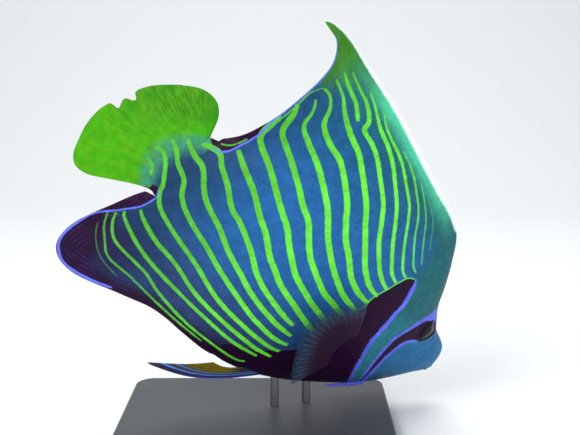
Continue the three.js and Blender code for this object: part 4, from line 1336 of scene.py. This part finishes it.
def strands(place, rays, branches, radius, draw):
    """Fine branching rays over a fin: their points on the straight fish, radii in mm, and shares."""
    steps = 20
    s0 = (np.arange(rays) + 0.5) / rays
    fork = (np.arange(branches) - (branches - 1) / 2) / branches
    t = np.linspace(0.02, 1, steps)
    s = s0[:, None, None] + fork[None, :, None] / rays * (0.08 + 0.6 * ramp(0.5, 1, t))[None, None, :]
    s = s.reshape(-1, steps) + draw.uniform(-0.25, 0.25, (rays * branches, 1)) / rays / branches * t
    s = np.clip(s, 0, 1)
    reach = draw.uniform(0.95, 1, (len(s), 1)) * t
    taper = radius * (1 - 0.5 * t) * closing(t, 0.96) * closing(1 - t, 0.96)
    return place(s, reach), taper + 0 * s, reach


class ANGELFISH_OT_pectorals(bpy.types.Operator):
    """Builds the pectoral fins from branching rays and a thin membrane"""
    bl_idname = "angelfish.pectorals"
    bl_label = "Pectoral fins"

    def execute(self, context):
        rays = satin("pectoral rays")
        reach = rays.attribute("reach")
        colour = rays.mixed(rays.step(reach, 0.54, 0.8), "ray_root", "ray_middle")
        colour = rays.mixed(rays.step(reach, 0.78, 0.96), colour, "ray_tip")
        rays.finish(colour, alpha=rays.step(reach, 0.8, 1.0, (1.0, 0.3)))
        web = satin("pectoral membrane")
        reach = web.attribute("reach")
        colour = web.mixed(web.step(reach, 0.58, 0.96), "web_root", "web_tip")
        web.finish(colour, alpha=web.step(reach, 0.72, 1.0, (1.0, 0.25)))
        for name, side in SIDES.items():
            points, faces, _, t = blade(lambda s, t: pectoral_place(s, WEB_SHARE * t), pectoral_half, 76, 24)
            spots = on_side(points, side)
            piece(f"pectoral_web_{name}", spots[None], faces, "fin", web.material, {"reach": t})
            draw = np.random.default_rng(context.scene.angelfish.seed)
            paths, radii, t = strands(pectoral_place, PECTORAL_RAYS, PECTORAL_STRANDS, STRAND_RADIUS, draw)
            positions, faces, column = tubes(on_side(paths, side), radii * 0.001, 5)
            values = {"reach": t[:, column].ravel()}
            fin = piece(f"pectoral_rays_{name}", positions, faces, "fin", rays.material, values)
            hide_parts(f"pectoral_fin_{name}")
        return {"FINISHED"}


class ANGELFISH_OT_pelvics(bpy.types.Operator):
    """Builds the pelvic fins"""
    bl_idname = "angelfish.pelvics"
    bl_label = "Pelvic fins"

    def execute(self, context):
        shader = satin("pelvic fin")
        across = shader.attribute("across")
        web = shader.mixed(shader.step(across, 0.2, 0.75), "pelvic", "pelvic_rear")
        web = shader.mixed(shader.step(shader.attribute("reach"), 0.45, 0.1), web, "pelvic_root")
        for centre, width, tint in PELVIC_STREAKS:
            gap = shader.math("ABSOLUTE", shader.math("SUBTRACT", across, centre))
            web = shader.mixed(shader.step(gap, width, 0.5 * width), web, srgb(*tint))
        shader.finish(shader.shaded(web, shader.step(shader.noise(300.0), 0.3, 0.7, (0.85, 1.1))))
        for name, side in SIDES.items():
            points, faces, s, t = blade(pelvic_place(name), pelvic_half, 72, 40)
            values = {"across": s, "reach": t}
            spots = on_side(points, side)
            fin = piece(f"pelvic_{name}", spots[None], faces, "fin", shader.material, values)
            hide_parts(f"pelvic_fin_{name}")
        return {"FINISHED"}


class ANGELFISH_OT_stand(bpy.types.Operator):
    """Finishes the stand's base and rods"""
    bl_idname = "angelfish.stand"
    bl_label = "Stand"

    def execute(self, context):
        settings = context.scene.angelfish_stand
        base = Shader("base", Roughness=0.45)
        tint = base.mixed(base.noise(60.0, 6.0), settings.base_colour, "base_mottle")
        base.finish(tint, base.bump(base.noise(900.0), 0.0001, 0.3))
        rod = Shader("rod", Roughness=0.36, Metallic=1.0)
        rod.finish(rod.mixed(rod.noise(240.0), settings.rod_colour, "rod_mottle"))
        for name, shader, slot in (("stand_base", base, "base"), ("stand_rod_front", rod, "rod"),
                                   ("stand_rod_rear", rod, "rod")):
            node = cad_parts[name]
            node.data.materials.clear()
            node.data.materials.append(shader.material)
        return {"FINISHED"}


# The camera looks at a point set from the fish's own place, and stands ten degrees above it
CAMERA_TARGET = ORIGIN - np.array([0.09839, 0.00617, -0.12338])
CAMERA_DISTANCE = 0.6818
CAMERA_RISE = math.radians(10)
CAMERA_LENS = 57.76


# Each light's name, place, size in metres and power in watts
LIGHTS = [("key", (-0.9, -1.1, 1.3), 0.9, 26), ("fill", (1.3, -0.9, 0.6), 1.2, 10),
          ("top", (0.1, 0.5, 1.5), 1.0, 14)]
SKY_COLOUR = (0.9, 0.95, 1, 1)
SKY_STRENGTH = 0.55
STAGE_GREY = (0.74, 0.75, 0.75)
# The backdrop in metres: a floor that curves up into a wall
STAGE_WIDTH = 8
STAGE_FRONT = -3
STAGE_REAR = 0.9
STAGE_CURVE = 0.9
STAGE_WALL = 3
STAGE_DROP = 0.0005  # the floor lies this far under the base
STAGE_ROWS = (6, 28, 6)  # of the floor, the curve and the wall


def linked(name, data, place, aim):
    """An object that stands at a place and looks along a direction."""
    obj = bpy.data.objects.new(name, data)
    obj.location = place
    obj.rotation_euler = aim.to_track_quat("-Z", "Y").to_euler()
    bpy.context.scene.collection.objects.link(obj)
    return obj


def area_light(name, place, size, power):
    """A soft square light that looks at the camera's target."""
    light = bpy.data.lights.new(name, "AREA")
    light.size = size
    light.energy = power
    return linked(name, light, place, Vector(CAMERA_TARGET) - Vector(place))


class ANGELFISH_OT_stage(bpy.types.Operator):
    """Sets the pale floor and backdrop, the lights and the camera"""
    bl_idname = "angelfish.stage"
    bl_label = "Stage"

    def execute(self, context):
        scene = context.scene
        sweep = Shader("backdrop", Roughness=0.9)
        sweep.finish(opaque(STAGE_GREY))
        flat, curved, upright = STAGE_ROWS
        column, row, faces = grid_template(2, sum(STAGE_ROWS))
        across = (column / 2 - 0.5) * STAGE_WIDTH
        turn = np.clip((row - flat) / curved, 0, 1) * np.pi / 2
        ahead = STAGE_FRONT + row * (STAGE_REAR - STAGE_FRONT) / flat
        depth = np.where(row < flat, ahead, STAGE_REAR + STAGE_CURVE * np.sin(turn))
        wall = np.clip(row - flat - curved, 0, upright) * STAGE_WALL / upright
        rise = STAGE_CURVE * (1 - np.cos(turn)) + wall
        points = np.stack([across, depth, rise - STAGE_DROP], -1)
        floor = piece("floor", points[None], faces, None, sweep.material, weld=False)
        [area_light(*light) for light in LIGHTS]
        world = bpy.data.worlds.new("studio")
        world.use_nodes = True
        sky = world.node_tree.nodes["Background"]
        sky.inputs["Color"].default_value = SKY_COLOUR
        sky.inputs["Strength"].default_value = SKY_STRENGTH
        scene.world = world
        scene.view_settings.view_transform = "Standard"
        camera = bpy.data.cameras.new("camera")
        camera.lens = CAMERA_LENS
        camera.sensor_width = 36
        away = Vector((0, -math.cos(CAMERA_RISE), math.sin(CAMERA_RISE)))
        scene.camera = linked("camera", camera, Vector(CAMERA_TARGET) + away * CAMERA_DISTANCE, -away)
        return {"FINISHED"}


class ANGELFISH_PT_panel(bpy.types.Panel):
    """Lists the settings and the build steps"""
    bl_idname = "ANGELFISH_PT_panel"
    bl_label = "Angelfish"
    bl_space_type = "VIEW_3D"
    bl_region_type = "UI"
    bl_category = "Angelfish"

    def draw(self, context):
        for group in (context.scene.angelfish, context.scene.angelfish_stand):
            for key in group.bl_rna.properties.keys():
                if key not in ("rna_type", "name"):
                    self.layout.prop(group, key)
        for step in STEPS:
            self.layout.operator(step.bl_idname)


STEPS = (ANGELFISH_OT_stage, ANGELFISH_OT_skin, ANGELFISH_OT_scales, ANGELFISH_OT_eyes, ANGELFISH_OT_mouth,
         ANGELFISH_OT_spines, ANGELFISH_OT_pectorals, ANGELFISH_OT_pelvics, ANGELFISH_OT_stand)
CLASSES = (FishSettings, StandSettings, *STEPS, ANGELFISH_PT_panel)


def register():
    for item in CLASSES:
        bpy.utils.register_class(item)
    bpy.types.Scene.angelfish = PointerProperty(type=FishSettings)
    bpy.types.Scene.angelfish_stand = PointerProperty(type=StandSettings)


def unregister():
    del bpy.types.Scene.angelfish_stand
    del bpy.types.Scene.angelfish
    for item in reversed(CLASSES):
        bpy.utils.unregister_class(item)


def main():
    register()
    for step in STEPS:
        getattr(bpy.ops.angelfish, step.bl_idname.split(".")[1])()


if __name__ == "__main__":
    main()
